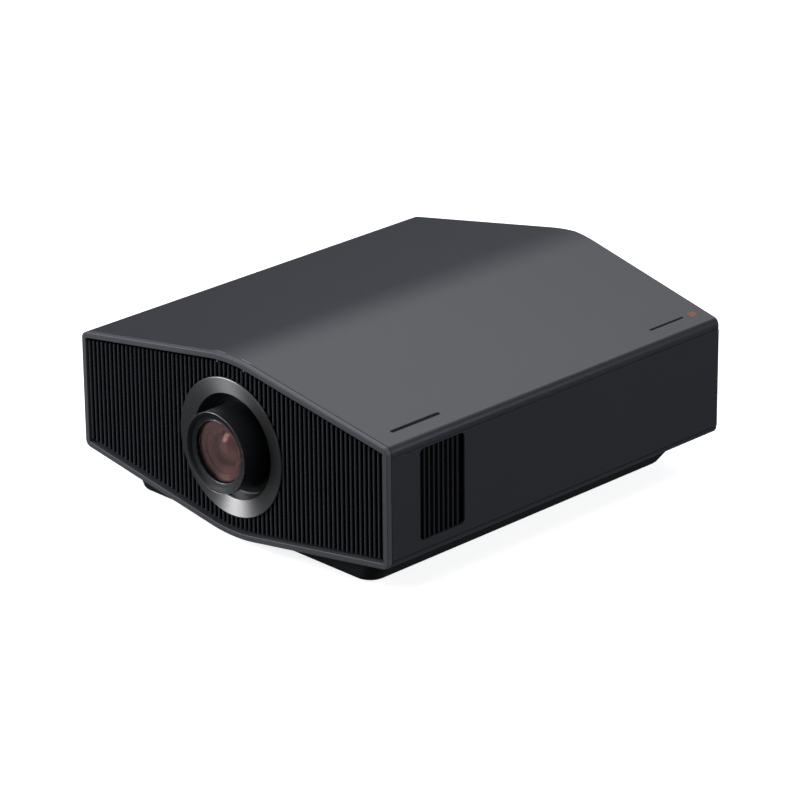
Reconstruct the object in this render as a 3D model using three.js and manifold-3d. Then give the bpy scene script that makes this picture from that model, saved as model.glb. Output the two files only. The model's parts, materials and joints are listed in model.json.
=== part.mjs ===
// Home-cinema laser projector, built as an assembly of separate pieces.
// Millimetres, +Z up. The lens looks along -Y and +X is the right-hand side seen from the front.
// Inside the projector group, y is measured back from the front face of the bezel.

import * as THREE from 'three';
import { mergeVertices } from 'three/addons/utils/BufferGeometryUtils.js';
import Module from 'manifold-3d';

const wasm = await Module();
wasm.setup();

// ---- Driving dimensions ----

// Cabinet: a box whose roof and belly are two shallow slopes that meet in a soft ridge and keel.
const BODY_WIDTH = 460;
const BODY_HEIGHT = 210;
const BODY_DEPTH = 517;
const REAR_POINT = 23;
const RIDGE_RISE = 37.3;
const SIDE_HEIGHT = 129.8;
const RIDGE_RADIUS = 200;
const CORNER_RADIUS = 8;
const WALL = 2.5;
const FIT_GAP = 0.4;
const TOUCH_GAP = 0.3;
const SEAM_ABOVE_CENTRE = 54.6;
const SEAM_BELOW_CENTRE = 57.9;

// Front: bezel, slatted grille and lens ring.
const BEZEL_WIDTH = 6.5;
const BEZEL_DEPTH = 6;
const BEZEL_LIP = 9;
const SLAT_COUNT = 68;
const SLAT_PITCH = 6.6;
const SLAT_WIDTH = 2.8;
const SLAT_DEPTH = 7;
const GRILLE_RECESS = 2.5;
const GRILLE_RIM = 3;
const RING_RADIUS = 75.6;
const RING_HOLE_RADIUS = 57.5;
const RING_THICKNESS = 2.4;
const RING_DISH = 3.4;
const COLLAR_WIDTH = 4;
const RING_PROUD = 0.5;
const LIGHT_RADIUS = 1.3;
const LIGHT_BELOW_RIDGE = 13;

// Lens.
const LENS_REACH = 21.5;
const BARREL_RADIUS = 45;
const BARREL_WALL = 2.4;
const FACE_HOLE_RADIUS = 34;
const FACE_DISH = 4.5;
const FRONT_GLASS_RADIUS = 33;
const SHIFT_UP = 6.5;
const SHIFT_ACROSS = 4.8;
const SHROUD_START = 6.2;
const SHROUD_END = 17;
const TUBE_WALL = 2.2;
const TUBE_LENGTH = 92;
const DRIVE_RING_WALL = 4;
const DRIVE_RING_WIDTH = 12;
const PINION_RADIUS = 6;
const MOTOR_RADIUS = 9;
const CARRIAGE_Y = 76;
const CARRIAGE_PLATE = 4;
const CARRIAGE_GAP = 1.6;
const MOUNT_PLATE_HALF_WIDTH = 118;
const MOUNT_PLATE_ABOVE_CENTRE = 66;
const VERTICAL_PLATE_HALF = [88, 60];
const SIDEWAYS_PLATE_HALF = [70, 56];
const GUIDE_ROD_RADIUS = 3;
const GUIDE_ROD_SPREAD = 97;
const GUIDE_ROD_HALF_LENGTH = 56;
const SCREW_RADIUS = 2.5;
const VERTICAL_SCREW_X = -112;
const CROSS_SCREW_ABOVE_CENTRE = 62;
const CROSS_SCREW_ENDS = [-30, 60];
const SHIFT_MOTOR_RADIUS = 5.5;
const CROSS_ROD_RADIUS = 1.6;
const CROSS_ROD_SPREAD = 52;
const CROSS_ROD_HALF_LENGTH = 82;
const SLIDE_GAP = 0.3;

// Side vents.
const VENT_START = 46.2;
const VENT_LENGTH = 62.8;
const VENT_HEIGHT = 100.4;
const VENT_BARS = 8;
const VENT_PITCH = 6.7;
const VENT_BAR_WIDTH = 2.7;
const VENT_CORNER = 5;
const VENT_RAISE = 2.3;
const VENT_RECESS = 1.8;

// Base and feet.
const FOOT_HEIGHT = 5;
const FOOT_RADIUS = 14;
const FOOT_STUD_RADIUS = 4;
const PLINTH_HALF_WIDTH = 177;
const PLINTH_FLARE = 0.68;
const PLINTH_REAR_LEAN = 0.45;
const PLINTH_FRONT = 26;
const PLINTH_LENGTH = 442;
const PLINTH_CORNER = 18;
const PLINTH_WALL = 3;
const FOOT_X = 140;
const FOOT_FRONT_Y = 64;
const FOOT_REAR_Y = 420;

// Chassis and what stands on it.
const CHASSIS_SHEET = 2;
const CHASSIS_HALF_WIDTH = 212;
const CHASSIS_START = 18;
const CHASSIS_END = 474;
const FAN_SIZE = 110;
const FAN_DEPTH = 25;
const FAN_X = 161;
const FAN_Y = 19;
const FAN_BLADES = 9;
const FAN_HUB_RADIUS = 20;
const HEAT_SINK_FINS = 12;
const BOARD_THICKNESS = 1.6;
const WHEEL_RADIUS = 32;
const PRISM_SIZE = 34;
const HOUSING_X = [-34, 70];
const HOUSING_Y = [146, 246];
const HOUSING_WALL = 3;
const SINK_X = [-206, -112];
const SINK_Y = [112, 190];
const BOARD_X = [-100, 100];
const BOARD_Y = [148, 440];
const BOARD_ABOVE_CENTRE = 52;
const SUPPLY_X = [110, 206];
const SUPPLY_Y = [130, 420];
const SUPPLY_RAISE = 4;

// Rear panel, terminal bay and controls.
const REAR_INSET = 4;
const BAY_WIDTH = 176;
const BAY_HEIGHT = 52;
const BAY_DEPTH = 20;
const BAY_X = -98;
const BAY_ABOVE_CENTRE = -22;
const INLET_X = 150;
const INLET_HALF = [16, 12];
const INTAKE_X = [24, 196];
const INTAKE_ABOVE_CENTRE = [-2, 42];
const LOUVRE_PITCH = 8;
const LOUVRE_WIDTH = 3;
const FILTER_THICKNESS = 10;
const BUTTON_RADIUS = 6;
const PAD_RADIUS = 16;
const PAD_HOLLOW_RADIUS = 8;
const PAD_Y = 446;
const KEY_GAP = 0.8;
const CONTROLS_RAISE = 10;
const BUTTON_START_Y = 386;
const BUTTON_PITCH = 24;

// ---- Values worked out from them ----

const half = (value) => value / 2;
const FACET_SLOPE = RIDGE_RISE / half(BODY_WIDTH);
const FACET_STRETCH = Math.hypot(1, FACET_SLOPE);
const RIDGE_DROP = RIDGE_RADIUS * (FACET_STRETCH - 1);
const RIDGE_HALF = half(SIDE_HEIGHT) + RIDGE_RISE;
const CENTRE_Z = BODY_HEIGHT - RIDGE_HALF + RIDGE_DROP;
const FRONT_Y = half(LENS_REACH - BODY_DEPTH);
const SIDE_DEPTH = BODY_DEPTH - REAR_POINT;
const SEAM_TOP = CENTRE_Z + SEAM_ABOVE_CENTRE;
const SEAM_BOTTOM = CENTRE_Z - SEAM_BELOW_CENTRE;
const SHELL_START = BEZEL_DEPTH + FIT_GAP;
const CHASSIS_Z = CENTRE_Z - half(SIDE_HEIGHT) + 4;
const CHASSIS_TOP = CHASSIS_Z + CHASSIS_SHEET;
const SHIFT_REACH = Math.hypot(SHIFT_UP, SHIFT_ACROSS);
const TUBE_RADIUS = BARREL_RADIUS - 0.8 + TUBE_WALL;
const LIGHT_X = 3 * SLAT_PITCH;
const LIGHT_Z = CENTRE_Z + RIDGE_HALF - LIGHT_BELOW_RIDGE;

// ---- Materials ----

const paint = (color, roughness, metalness = 0) =>
  new THREE.MeshStandardMaterial({ color, roughness, metalness });
const shellGrey = paint(0x5a5d66, 0.45);
const bezelGrey = paint(0x6c6e74, 0.4);
const slatGrey = paint(0x55575c, 0.4);
const satinSilver = paint(0xb0b2b6, 0.28, 1);
const glossBlack = paint(0x0c0d0f, 0.2);
const mattBlack = paint(0x17181a, 0.7);
const barrelGrey = paint(0x3a3c40, 0.45);
const coatedGlass = paint(0x6e2f33, 0.05);
const sheetSteel = paint(0x9a9da1, 0.4, 1);
const polishedSteel = paint(0xc8cacc, 0.25, 1);
const aluminium = paint(0xb4b6b8, 0.4, 1);
const brass = paint(0xb59a55, 0.35, 1);
const rubber = paint(0x141414, 0.9);
const boardGreen = paint(0x1f4a33, 0.5);
const connectorBlack = paint(0x1b1c1e, 0.55);
const lightPipe = paint(0x9cc0d8, 0.2);
const opticalGlass = paint(0xcfd8dc, 0.03);
const filterFoam = paint(0x2d2f31, 0.95);
const phosphorYellow = paint(0xd9c64a, 0.6);

// ---- Solid helpers ----

function solidFrom(geometry) {
  geometry.deleteAttribute('normal');
  geometry.deleteAttribute('uv');
  const merged = mergeVertices(geometry, 1e-4);
  const position = merged.getAttribute('position');
  const triangles = [];
  for (let i = 0; i < merged.index.count; i += 3) {
    const [a, b, c] = [0, 1, 2].map((k) => merged.index.getX(i + k));
    if (a !== b && b !== c && c !== a) triangles.push(a, b, c);
  }
  const vertProperties = new Float32Array(position.array);
  const triVerts = new Uint32Array(triangles);
  return new wasm.Manifold(new wasm.Mesh({ numProp: 3, vertProperties, triVerts }));
}

function joined(solids) {
  return solids.reduce((total, solid) => total.add(solid));
}

// A rectangular block between two corners.
function block([x0, x1], [y0, y1], [z0, z1]) {
  const geometry = new THREE.BoxGeometry(x1 - x0, y1 - y0, z1 - z0);
  geometry.translate((x0 + x1) / 2, (y0 + y1) / 2, (z0 + z1) / 2);
  return solidFrom(geometry);
}

// A round bar along one axis; start and end are its two ends on that axis, at is its centre on the others.
function bar(axis, radius, start, end, at, segments = 14) {
  const geometry = new THREE.CylinderGeometry(radius, radius, end - start, segments);
  if (axis === 'x') geometry.rotateZ(Math.PI / 2);
  if (axis === 'z') geometry.rotateX(Math.PI / 2);
  const middle = (start + end) / 2;
  const place = { x: [middle, ...at], y: [at[0], middle, at[1]], z: [...at, middle] }[axis];
  geometry.translate(...place);
  return solidFrom(geometry);
}

// A ring or disc turned about the lens axis from [radius, y] corners.
function turned(corners, segments = 28, x = 0, z = CENTRE_Z) {
  const closed = [...corners, corners[0]];
  let area = 0;
  for (let i = 0; i < corners.length; i += 1) {
    area += closed[i][0] * closed[i + 1][1] - closed[i + 1][0] * closed[i][1];
  }
  const ordered = area > 0 ? closed : closed.reverse();
  const points = ordered.map(([radius, y]) => new THREE.Vector2(radius, y));
  const geometry = new THREE.LatheGeometry(points, segments);
  geometry.translate(x, 0, z);
  return solidFrom(geometry);
}

function tube(outer, inner, y0, y1, segments = 28, x = 0, z = CENTRE_Z) {
  return turned([[inner, y0], [outer, y0], [outer, y1], [inner, y1]], segments, x, z);
}

// Corners of a closed outline, each rounded by its own radius.
function roundedOutline(corners, path = new THREE.Shape()) {
  const count = corners.length;
  corners.forEach(([x, z, radius], i) => {
    const [px, pz] = corners[(i + count - 1) % count];
    const [nx, nz] = corners[(i + 1) % count];
    const before = new THREE.Vector2(px - x, pz - z).normalize();
    const after = new THREE.Vector2(nx - x, nz - z).normalize();
    const turn = Math.acos(THREE.MathUtils.clamp(before.dot(after), -1, 1));
    const reach = radius / Math.tan(turn / 2);
    const middle = before.clone().add(after).normalize();
    const centre = middle.multiplyScalar(radius / Math.sin(turn / 2)).add(new THREE.Vector2(x, z));
    const start = before.multiplyScalar(reach).add(new THREE.Vector2(x, z));
    const end = after.multiplyScalar(reach).add(new THREE.Vector2(x, z));
    const from = Math.atan2(start.y - centre.y, start.x - centre.x);
    const to = Math.atan2(end.y - centre.y, end.x - centre.x);
    if (i === 0) path.moveTo(start.x, start.y);
    else path.lineTo(start.x, start.y);
    path.absarc(centre.x, centre.y, radius, from, to, false);
  });
  path.closePath();
  return path;
}

// An outline in x and z, made into a prism from y0 to y1.
function prismAlongY(shape, y0, y1, curveSegments = 3) {
  const geometry = new THREE.ExtrudeGeometry(shape, { depth: y1 - y0, bevelEnabled: false, curveSegments });
  geometry.rotateX(Math.PI / 2);
  geometry.translate(0, y1, 0);
  return solidFrom(geometry);
}

// An outline in x and y, made into a prism from z0 to z1.
function prismAlongZ(shape, z0, z1, curveSegments = 5) {
  const geometry = new THREE.ExtrudeGeometry(shape, { depth: z1 - z0, bevelEnabled: false, curveSegments });
  geometry.translate(0, 0, z0);
  return solidFrom(geometry);
}

// An outline in y and z, made into a prism from x0 to x1.
function prismAlongX(shape, x0, x1, curveSegments = 2) {
  const geometry = new THREE.ExtrudeGeometry(shape, { depth: x1 - x0, bevelEnabled: false, curveSegments });
  geometry.rotateX(Math.PI / 2);
  geometry.rotateZ(Math.PI / 2);
  geometry.translate(x0, 0, 0);
  return solidFrom(geometry);
}

function rectangle([x0, x1], [z0, z1], radius) {
  return roundedOutline([[x1, z0, radius], [x1, z1, radius], [x0, z1, radius], [x0, z0, radius]]);
}

const projector = new THREE.Group();
projector.position.y = FRONT_Y;

function addPiece(name, solid, material) {
  const { numProp, vertProperties, triVerts } = solid.getMesh();
  const geometry = new THREE.BufferGeometry();
  geometry.setAttribute('position', new THREE.BufferAttribute(vertProperties, numProp));
  geometry.setIndex(new THREE.BufferAttribute(triVerts, 1));
  const mesh = new THREE.Mesh(geometry, material);
  mesh.name = name;
  projector.add(mesh);
}

// ---- Cabinet outline ----

// The six-sided cross-section, moved inwards by an even inset.
function cabinetOutline(inset) {
  const side = half(BODY_WIDTH) - inset;
  const ridge = RIDGE_HALF - inset * FACET_STRETCH;
  const shoulder = ridge - FACET_SLOPE * side;
  const corner = Math.max(CORNER_RADIUS - inset, 1);
  const crest = RIDGE_RADIUS - inset;
  return roundedOutline([
    [side, CENTRE_Z - shoulder, corner],
    [side, CENTRE_Z + shoulder, corner],
    [0, CENTRE_Z + ridge, crest],
    [-side, CENTRE_Z + shoulder, corner],
    [-side, CENTRE_Z - shoulder, corner],
    [0, CENTRE_Z - ridge, crest],
  ]);
}

const cabinetPrism = (inset, y0, y1) => prismAlongY(cabinetOutline(inset), y0, y1);

// The plan of the cabinet's back: a shallow arrow that points backwards.
function planBehind(setBack, y0 = -10) {
  const side = half(BODY_WIDTH) + 5;
  const slope = REAR_POINT / half(BODY_WIDTH);
  const shape = new THREE.Shape();
  shape.moveTo(-side, y0);
  shape.lineTo(side, y0);
  shape.lineTo(side, BODY_DEPTH - setBack - slope * side);
  shape.lineTo(0, BODY_DEPTH - setBack);
  shape.lineTo(-side, BODY_DEPTH - setBack - slope * side);
  return prismAlongZ(shape, -20, BODY_HEIGHT + 20);
}

const everyX = [-400, 400];
const everyY = [-100, 700];
const shell = cabinetPrism(0, SHELL_START, BODY_DEPTH + 5)
  .subtract(cabinetPrism(WALL, 0, BODY_DEPTH + 10))
  .intersect(planBehind(0));

// ---- Front ----

function frontBezel() {
  const face = cabinetPrism(0, 0, BEZEL_DEPTH);
  const lip = cabinetPrism(WALL + FIT_GAP, BEZEL_DEPTH - 1, BEZEL_DEPTH + BEZEL_LIP);
  return face.add(lip).subtract(cabinetPrism(BEZEL_WIDTH, -1, BEZEL_DEPTH + BEZEL_LIP + 1));
}

// One plate with a slot between every two slats, and a round collar around the lens ring.
function frontGrille() {
  const edge = BEZEL_WIDTH + FIT_GAP;
  const back = GRILLE_RECESS + SLAT_DEPTH;
  const collarInner = RING_RADIUS - 1;
  const gaps = [];
  for (let i = 0; i < SLAT_COUNT - 1; i += 1) {
    const x = (i - half(SLAT_COUNT - 2)) * SLAT_PITCH;
    const reach = half(SLAT_PITCH - SLAT_WIDTH);
    gaps.push(block([x - reach, x + reach], [GRILLE_RECESS - 1, back + 1], [0, BODY_HEIGHT]));
  }
  const slots = joined(gaps)
    .intersect(cabinetPrism(edge + GRILLE_RIM, GRILLE_RECESS - 2, back + 2))
    .subtract(bar('y', collarInner + COLLAR_WIDTH, GRILLE_RECESS - 3, back + 3, [0, CENTRE_Z], 48));
  const lensHole = bar('y', collarInner, GRILLE_RECESS - 1, back + 1, [0, CENTRE_Z], 48);
  const seatRadius = RING_RADIUS + 2 * FIT_GAP;
  const ringSeat = bar('y', seatRadius, GRILLE_RECESS - 1, GRILLE_RECESS + 3, [0, CENTRE_Z], 48);
  const lightHoles = joined([-1, 1].map((side) =>
    bar('y', LIGHT_RADIUS + FIT_GAP, GRILLE_RECESS - 1, back + 1, [side * LIGHT_X, LIGHT_Z], 12)));
  return cabinetPrism(edge, GRILLE_RECESS, back).subtract(slots).subtract(lensHole).subtract(ringSeat)
    .subtract(lightHoles);
}

function lensRing() {
  const front = -RING_PROUD;
  return turned([
    [RING_HOLE_RADIUS, front + RING_DISH],
    [RING_RADIUS, front],
    [RING_RADIUS, front + RING_THICKNESS],
    [RING_HOLE_RADIUS, front + RING_DISH + RING_THICKNESS],
  ], 48);
}

// A black funnel that rides with the lens and closes the opening wherever the lens is shifted to.
function lensShroud() {
  const inner = TUBE_RADIUS + FIT_GAP;
  const outer = RING_HOLE_RADIUS + SHIFT_REACH + 0.5;
  return turned([
    [inner, SHROUD_END],
    [outer, SHROUD_START],
    [outer, SHROUD_START + 1.5],
    [inner + 1.5, SHROUD_END + 1.5],
    [inner, SHROUD_END + 1.5],
  ]);
}

addPiece('front_bezel', frontBezel(), bezelGrey);
addPiece('front_grille', frontGrille(), slatGrey);
addPiece('lens_surround_ring', lensRing(), satinSilver);

for (const [side, x] of [['left', -LIGHT_X], ['right', LIGHT_X]]) {
  const pipe = bar('y', LIGHT_RADIUS, GRILLE_RECESS + 2, GRILLE_RECESS + SLAT_DEPTH + 6, [x, LIGHT_Z], 12);
  addPiece(`${side}_indicator_light`, pipe, lightPipe);
}

// ---- Cabinet shells ----

const ventMiddle = [VENT_START + half(VENT_LENGTH), CENTRE_Z + VENT_RAISE];
const ventWindow = (grow) => rectangle(
  [ventMiddle[0] - half(VENT_LENGTH) - grow, ventMiddle[0] + half(VENT_LENGTH) + grow],
  [ventMiddle[1] - half(VENT_HEIGHT) - grow, ventMiddle[1] + half(VENT_HEIGHT) + grow],
  VENT_CORNER,
);

const controlZ = CENTRE_Z + CONTROLS_RAISE;
const buttonNames = ['power_button', 'menu_button'];
const buttonY = (index) => BUTTON_START_Y + index * BUTTON_PITCH;

function sidePanel(side) {
  const outside = side * half(BODY_WIDTH);
  const xRange = [outside - CORNER_RADIUS, outside + CORNER_RADIUS];
  const band = block(xRange, everyY, [SEAM_BOTTOM + half(FIT_GAP), SEAM_TOP - half(FIT_GAP)]);
  const panel = shell.intersect(band);
  if (side > 0) return panel.subtract(prismAlongX(ventWindow(0), ...xRange));
  const holes = buttonNames.map((_, i) =>
    bar('x', BUTTON_RADIUS + FIT_GAP, ...xRange, [buttonY(i), controlZ], 16));
  const padHole = bar('x', PAD_RADIUS + FIT_GAP, ...xRange, [PAD_Y, controlZ], 24);
  return panel.subtract(joined([...holes, padHole]));
}

// A frame behind the panel with upright bars that stand in the panel's window.
function sideVentGrille() {
  const frameFront = half(BODY_WIDTH) - WALL - FIT_GAP;
  const frameBack = frameFront - 4;
  const barFront = half(BODY_WIDTH) - VENT_RECESS;
  const frame = prismAlongX(ventWindow(3), frameBack, frameFront)
    .subtract(prismAlongX(ventWindow(0), frameBack - 1, frameFront + 1));
  const bars = [];
  for (let i = 0; i < VENT_BARS; i += 1) {
    const y = ventMiddle[0] + (i - half(VENT_BARS - 1)) * VENT_PITCH;
    const yRange = [y - half(VENT_BAR_WIDTH), y + half(VENT_BAR_WIDTH)];
    bars.push(block([frameBack, barFront], yRange, [ventMiddle[1] - 80, ventMiddle[1] + 80]));
  }
  const reach = prismAlongX(ventWindow(-FIT_GAP), frameBack, barFront);
  const root = prismAlongX(ventWindow(1), frameBack, frameFront);
  return joined(bars).intersect(reach.add(root)).add(frame);
}

const aboveSeam = block(everyX, everyY, [SEAM_TOP + half(FIT_GAP), 400]);
const belowSeam = block(everyX, everyY, [-100, SEAM_BOTTOM - half(FIT_GAP)]);
const footHoles = joined([-FOOT_X, FOOT_X].map((x) =>
  bar('z', FOOT_STUD_RADIUS + FIT_GAP, 0, CENTRE_Z, [x, FOOT_FRONT_Y], 12)));

addPiece('top_cover', shell.intersect(aboveSeam), shellGrey);
addPiece('right_side_panel', sidePanel(1), shellGrey);
addPiece('left_side_panel', sidePanel(-1), shellGrey);
addPiece('bottom_casing', shell.intersect(belowSeam).subtract(footHoles), shellGrey);
addPiece('side_vent_grille', sideVentGrille(), mattBlack);

// ---- Base and feet ----

// A rounded block that widens towards its top at both sides and at the back.
function flaredBlock(inset) {
  const bottom = FOOT_HEIGHT + inset;
  const side = PLINTH_HALF_WIDTH - inset;
  const start = PLINTH_FRONT + inset;
  const end = PLINTH_FRONT + PLINTH_LENGTH - inset;
  const plan = rectangle([-side, side], [start, end], PLINTH_CORNER - inset);
  const settings = { depth: CENTRE_Z - half(SIDE_HEIGHT) - bottom, bevelEnabled: false, curveSegments: 3 };
  const geometry = new THREE.ExtrudeGeometry(plan, settings);
  const position = geometry.getAttribute('position');
  for (let i = 0; i < position.count; i += 1) {
    const height = position.getZ(i);
    const [x, y] = [position.getX(i), position.getY(i)];
    position.setX(i, x * (1 + (height * PLINTH_FLARE) / side));
    position.setY(i, y > PLINTH_FRONT + half(PLINTH_LENGTH) ? y + height * PLINTH_REAR_LEAN : y);
  }
  geometry.translate(0, 0, bottom);
  return solidFrom(geometry);
}

// A tray under the keel, open at the top where the belly rests in it.
function basePlinth() {
  const outer = flaredBlock(0);
  const belly = cabinetPrism(-FIT_GAP, -5, BODY_DEPTH + 40);
  const posts = joined([-FOOT_X, FOOT_X].map((x) =>
    bar('z', 9, FOOT_HEIGHT + 1, CENTRE_Z, [x, FOOT_FRONT_Y], 14)));
  return outer.subtract(flaredBlock(PLINTH_WALL)).add(posts).subtract(belly).subtract(footHoles);
}

addPiece('base_plinth', basePlinth(), mattBlack);

const studTop = CHASSIS_Z - 0.4;
for (const [side, x] of [['left', -FOOT_X], ['right', FOOT_X]]) {
  const at = [x, FOOT_FRONT_Y];
  const pad = bar('z', FOOT_RADIUS, 0, FOOT_HEIGHT - FIT_GAP, at, 20);
  const stud = bar('z', FOOT_STUD_RADIUS, FOOT_HEIGHT - 1, studTop, at, 12);
  const groove = bar('z', FOOT_STUD_RADIUS + 1, studTop - 3, studTop - 1.6, at, 12)
    .subtract(bar('z', FOOT_STUD_RADIUS - 1, studTop - 4, studTop, at, 12));
  addPiece(`front_${side}_foot`, pad.add(stud).subtract(groove), rubber);
  const clip = bar('z', FOOT_STUD_RADIUS + 3, studTop - 2.7, studTop - 1.9, at, 12)
    .subtract(bar('z', FOOT_STUD_RADIUS - 0.7, studTop - 4, studTop, at, 12));
  addPiece(`front_${side}_foot_clip`, clip, polishedSteel);
  const rearPad = bar('z', FOOT_RADIUS, 0, FOOT_HEIGHT - FIT_GAP, [x, FOOT_REAR_Y], 20);
  addPiece(`rear_${side}_foot`, rearPad, rubber);
}

// ---- Rear ----

const rearOuter = WALL + FIT_GAP;
const bayX = [BAY_X - half(BAY_WIDTH), BAY_X + half(BAY_WIDTH)];
const bayMiddleZ = CENTRE_Z + BAY_ABOVE_CENTRE;
const bayZ = [bayMiddleZ - half(BAY_HEIGHT), bayMiddleZ + half(BAY_HEIGHT)];
const bayFloorY = SIDE_DEPTH - REAR_INSET - BAY_DEPTH;
const intakeZ = INTAKE_ABOVE_CENTRE.map((z) => CENTRE_Z + z);

function rearPanel() {
  const plate = cabinetPrism(rearOuter, bayFloorY - 5, BODY_DEPTH)
    .intersect(planBehind(REAR_INSET).subtract(planBehind(REAR_INSET + WALL)));
  const bay = block(bayX, everyY, bayZ);
  const inlet = block([INLET_X - INLET_HALF[0] - FIT_GAP, INLET_X + INLET_HALF[0] + FIT_GAP], everyY,
    [bayMiddleZ - INLET_HALF[1] - FIT_GAP, bayMiddleZ + INLET_HALF[1] + FIT_GAP]);
  const slots = [];
  for (let x = INTAKE_X[0]; x < INTAKE_X[1]; x += LOUVRE_PITCH) {
    slots.push(block([x, x + LOUVRE_PITCH - LOUVRE_WIDTH], everyY, intakeZ));
  }
  return plate.subtract(bay).subtract(inlet).subtract(joined(slots));
}

// A deep tray set in the rear panel, with one window for each connector in its floor.
const ports = {
  video_port_1: [-150, 15, 5.5],
  video_port_2: [-110, 15, 5.5],
};

function terminalBay() {
  const inner = [[bayX[0] + 2, bayX[1] - 2], [bayZ[0] + 2, bayZ[1] - 2]];
  const grow = ([a, b], by) => [a - by, b + by];
  const outside = block(grow(bayX, -FIT_GAP), [bayFloorY, BODY_DEPTH], grow(bayZ, -FIT_GAP));
  const hollow = block(inner[0], [bayFloorY + 2, BODY_DEPTH + 10], inner[1]);
  let bay = outside.subtract(hollow).intersect(planBehind(REAR_INSET));
  for (const [x, width, height] of Object.values(ports)) {
    const windowX = [x - half(width) - FIT_GAP, x + half(width) + FIT_GAP];
    const windowZ = [bayMiddleZ - half(height) - FIT_GAP, bayMiddleZ + half(height) + FIT_GAP];
    bay = bay.subtract(block(windowX, [bayFloorY - 1, bayFloorY + 3], windowZ));
  }
  return bay;
}

// A connector: a metal shell, open to the back.
function connector([x, width, height]) {
  const start = bayFloorY - 12;
  const end = bayFloorY + 3.5;
  const outside = block([x - half(width), x + half(width)], [start, end],
    [bayMiddleZ - half(height), bayMiddleZ + half(height)]);
  const hollow = block([x - half(width) + 0.8, x + half(width) - 0.8], [start + 3, end + 1],
    [bayMiddleZ - half(height) + 0.8, bayMiddleZ + half(height) - 0.8]);
  return outside.subtract(hollow);
}

// The mains socket: a deep cup with three flat pins.
function powerInlet() {
  const [w, h] = INLET_HALF;
  const face = rearFaceY(INLET_X + w) - 0.5;
  const body = block([INLET_X - w, INLET_X + w], [face - 26, face], [bayMiddleZ - h, bayMiddleZ + h]);
  const socket = block([INLET_X - w + 4, INLET_X + w - 4], [face - 16, face + 1],
    [bayMiddleZ - h + 3, bayMiddleZ + h - 3]);
  const pins = [-7, 0, 7].map((x) =>
    block([INLET_X + x - 1, INLET_X + x + 1], [face - 17, face - 3], [bayMiddleZ - 2.5, bayMiddleZ + 2.5]));
  return body.subtract(socket).add(joined(pins));
}

function rearFaceY(x) {
  return BODY_DEPTH - REAR_INSET - (REAR_POINT / half(BODY_WIDTH)) * Math.abs(x);
}

addPiece('rear_panel', rearPanel(), shellGrey);
addPiece('terminal_bay', terminalBay(), connectorBlack);
for (const [name, size] of Object.entries(ports)) {
  addPiece(name, connector(size), polishedSteel);
}
addPiece('power_inlet', powerInlet(), connectorBlack);
const filterY = rearFaceY(INTAKE_X[1]) - WALL - FILTER_THICKNESS - 4;
const filter = block([INTAKE_X[0] - 4, INTAKE_X[1] + 4], [filterY, filterY + FILTER_THICKNESS],
  [intakeZ[0] - 4, intakeZ[1] + 4]);
addPiece('intake_filter', filter, filterFoam);

// ---- Control buttons ----

const buttonTop = -half(BODY_WIDTH) + 0.3;
const buttonBack = -half(BODY_WIDTH) + WALL + 3;

function button(y, radius, segments) {
  const cap = bar('x', radius, buttonTop, buttonBack, [y, controlZ], segments);
  const flange = bar('x', radius + 1.6, buttonBack - 1.4, buttonBack, [y, controlZ], segments);
  return cap.add(flange);
}

buttonNames.forEach((name, i) => {
  addPiece(name, button(buttonY(i), BUTTON_RADIUS, 16), bezelGrey);
});
addPiece('enter_button', button(PAD_Y, PAD_HOLLOW_RADIUS - 2, 16), bezelGrey);

// Four arrow keys share the ring around the enter button, one quarter each.
const padRing = bar('x', PAD_RADIUS, buttonTop, buttonBack, [PAD_Y, controlZ], 24)
  .subtract(bar('x', PAD_HOLLOW_RADIUS, buttonTop - 5, buttonBack + 5, [PAD_Y, controlZ], 24));
const keyDirections = { back_key: 0, up_key: 90, front_key: 180, down_key: 270 };
for (const [name, degrees] of Object.entries(keyDirections)) {
  const size = 2 * PAD_RADIUS;
  const corner = new THREE.BoxGeometry(size, size, size);
  corner.translate(0, half(size + KEY_GAP), half(size + KEY_GAP));
  corner.rotateX(THREE.MathUtils.degToRad(degrees - 45));
  corner.translate(buttonTop, PAD_Y, controlZ);
  addPiece(name, padRing.intersect(solidFrom(corner)), bezelGrey);
}

// ---- Chassis ----

// A steel sheet with an opening under the lens and four posts for the main board.
function chassis() {
  const side = CHASSIS_HALF_WIDTH;
  const sheet = block([-side, side], [CHASSIS_START, CHASSIS_END], [CHASSIS_Z, CHASSIS_TOP]);
  const lensWell = block([-92, 92], [CHASSIS_START - 1, 130], [CHASSIS_Z - 1, CHASSIS_TOP + 1]);
  const posts = boardPostPlaces.map((at) => bar('z', 4, CHASSIS_Z + 1, boardZ - 0.3, at, 12));
  return sheet.subtract(lensWell).subtract(footHoles).add(joined(posts));
}

const boardZ = CENTRE_Z + BOARD_ABOVE_CENTRE;
const boardPostPlaces = BOARD_X.flatMap((x) => BOARD_Y.map((y) => [x * 0.94, y + (y < 200 ? 6 : -6)]));

addPiece('chassis_plate', chassis(), sheetSteel);

// The lens stands on three plates, one behind the other.
const plateY = (index) => {
  const start = CARRIAGE_Y + index * (CARRIAGE_PLATE + CARRIAGE_GAP);
  return [start, start + CARRIAGE_PLATE];
};
const rodZ = [CENTRE_Z - GUIDE_ROD_HALF_LENGTH, CENTRE_Z + GUIDE_ROD_HALF_LENGTH];
const rodY = plateY(1)[1] - 4.5;
const crossRodY = plateY(0)[0] + 1;
const crossRodZ = [CENTRE_Z - CROSS_ROD_SPREAD, CENTRE_Z + CROSS_ROD_SPREAD];
const crossScrew = [plateY(0)[0] - 1, CENTRE_Z + CROSS_SCREW_ABOVE_CENTRE];

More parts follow.
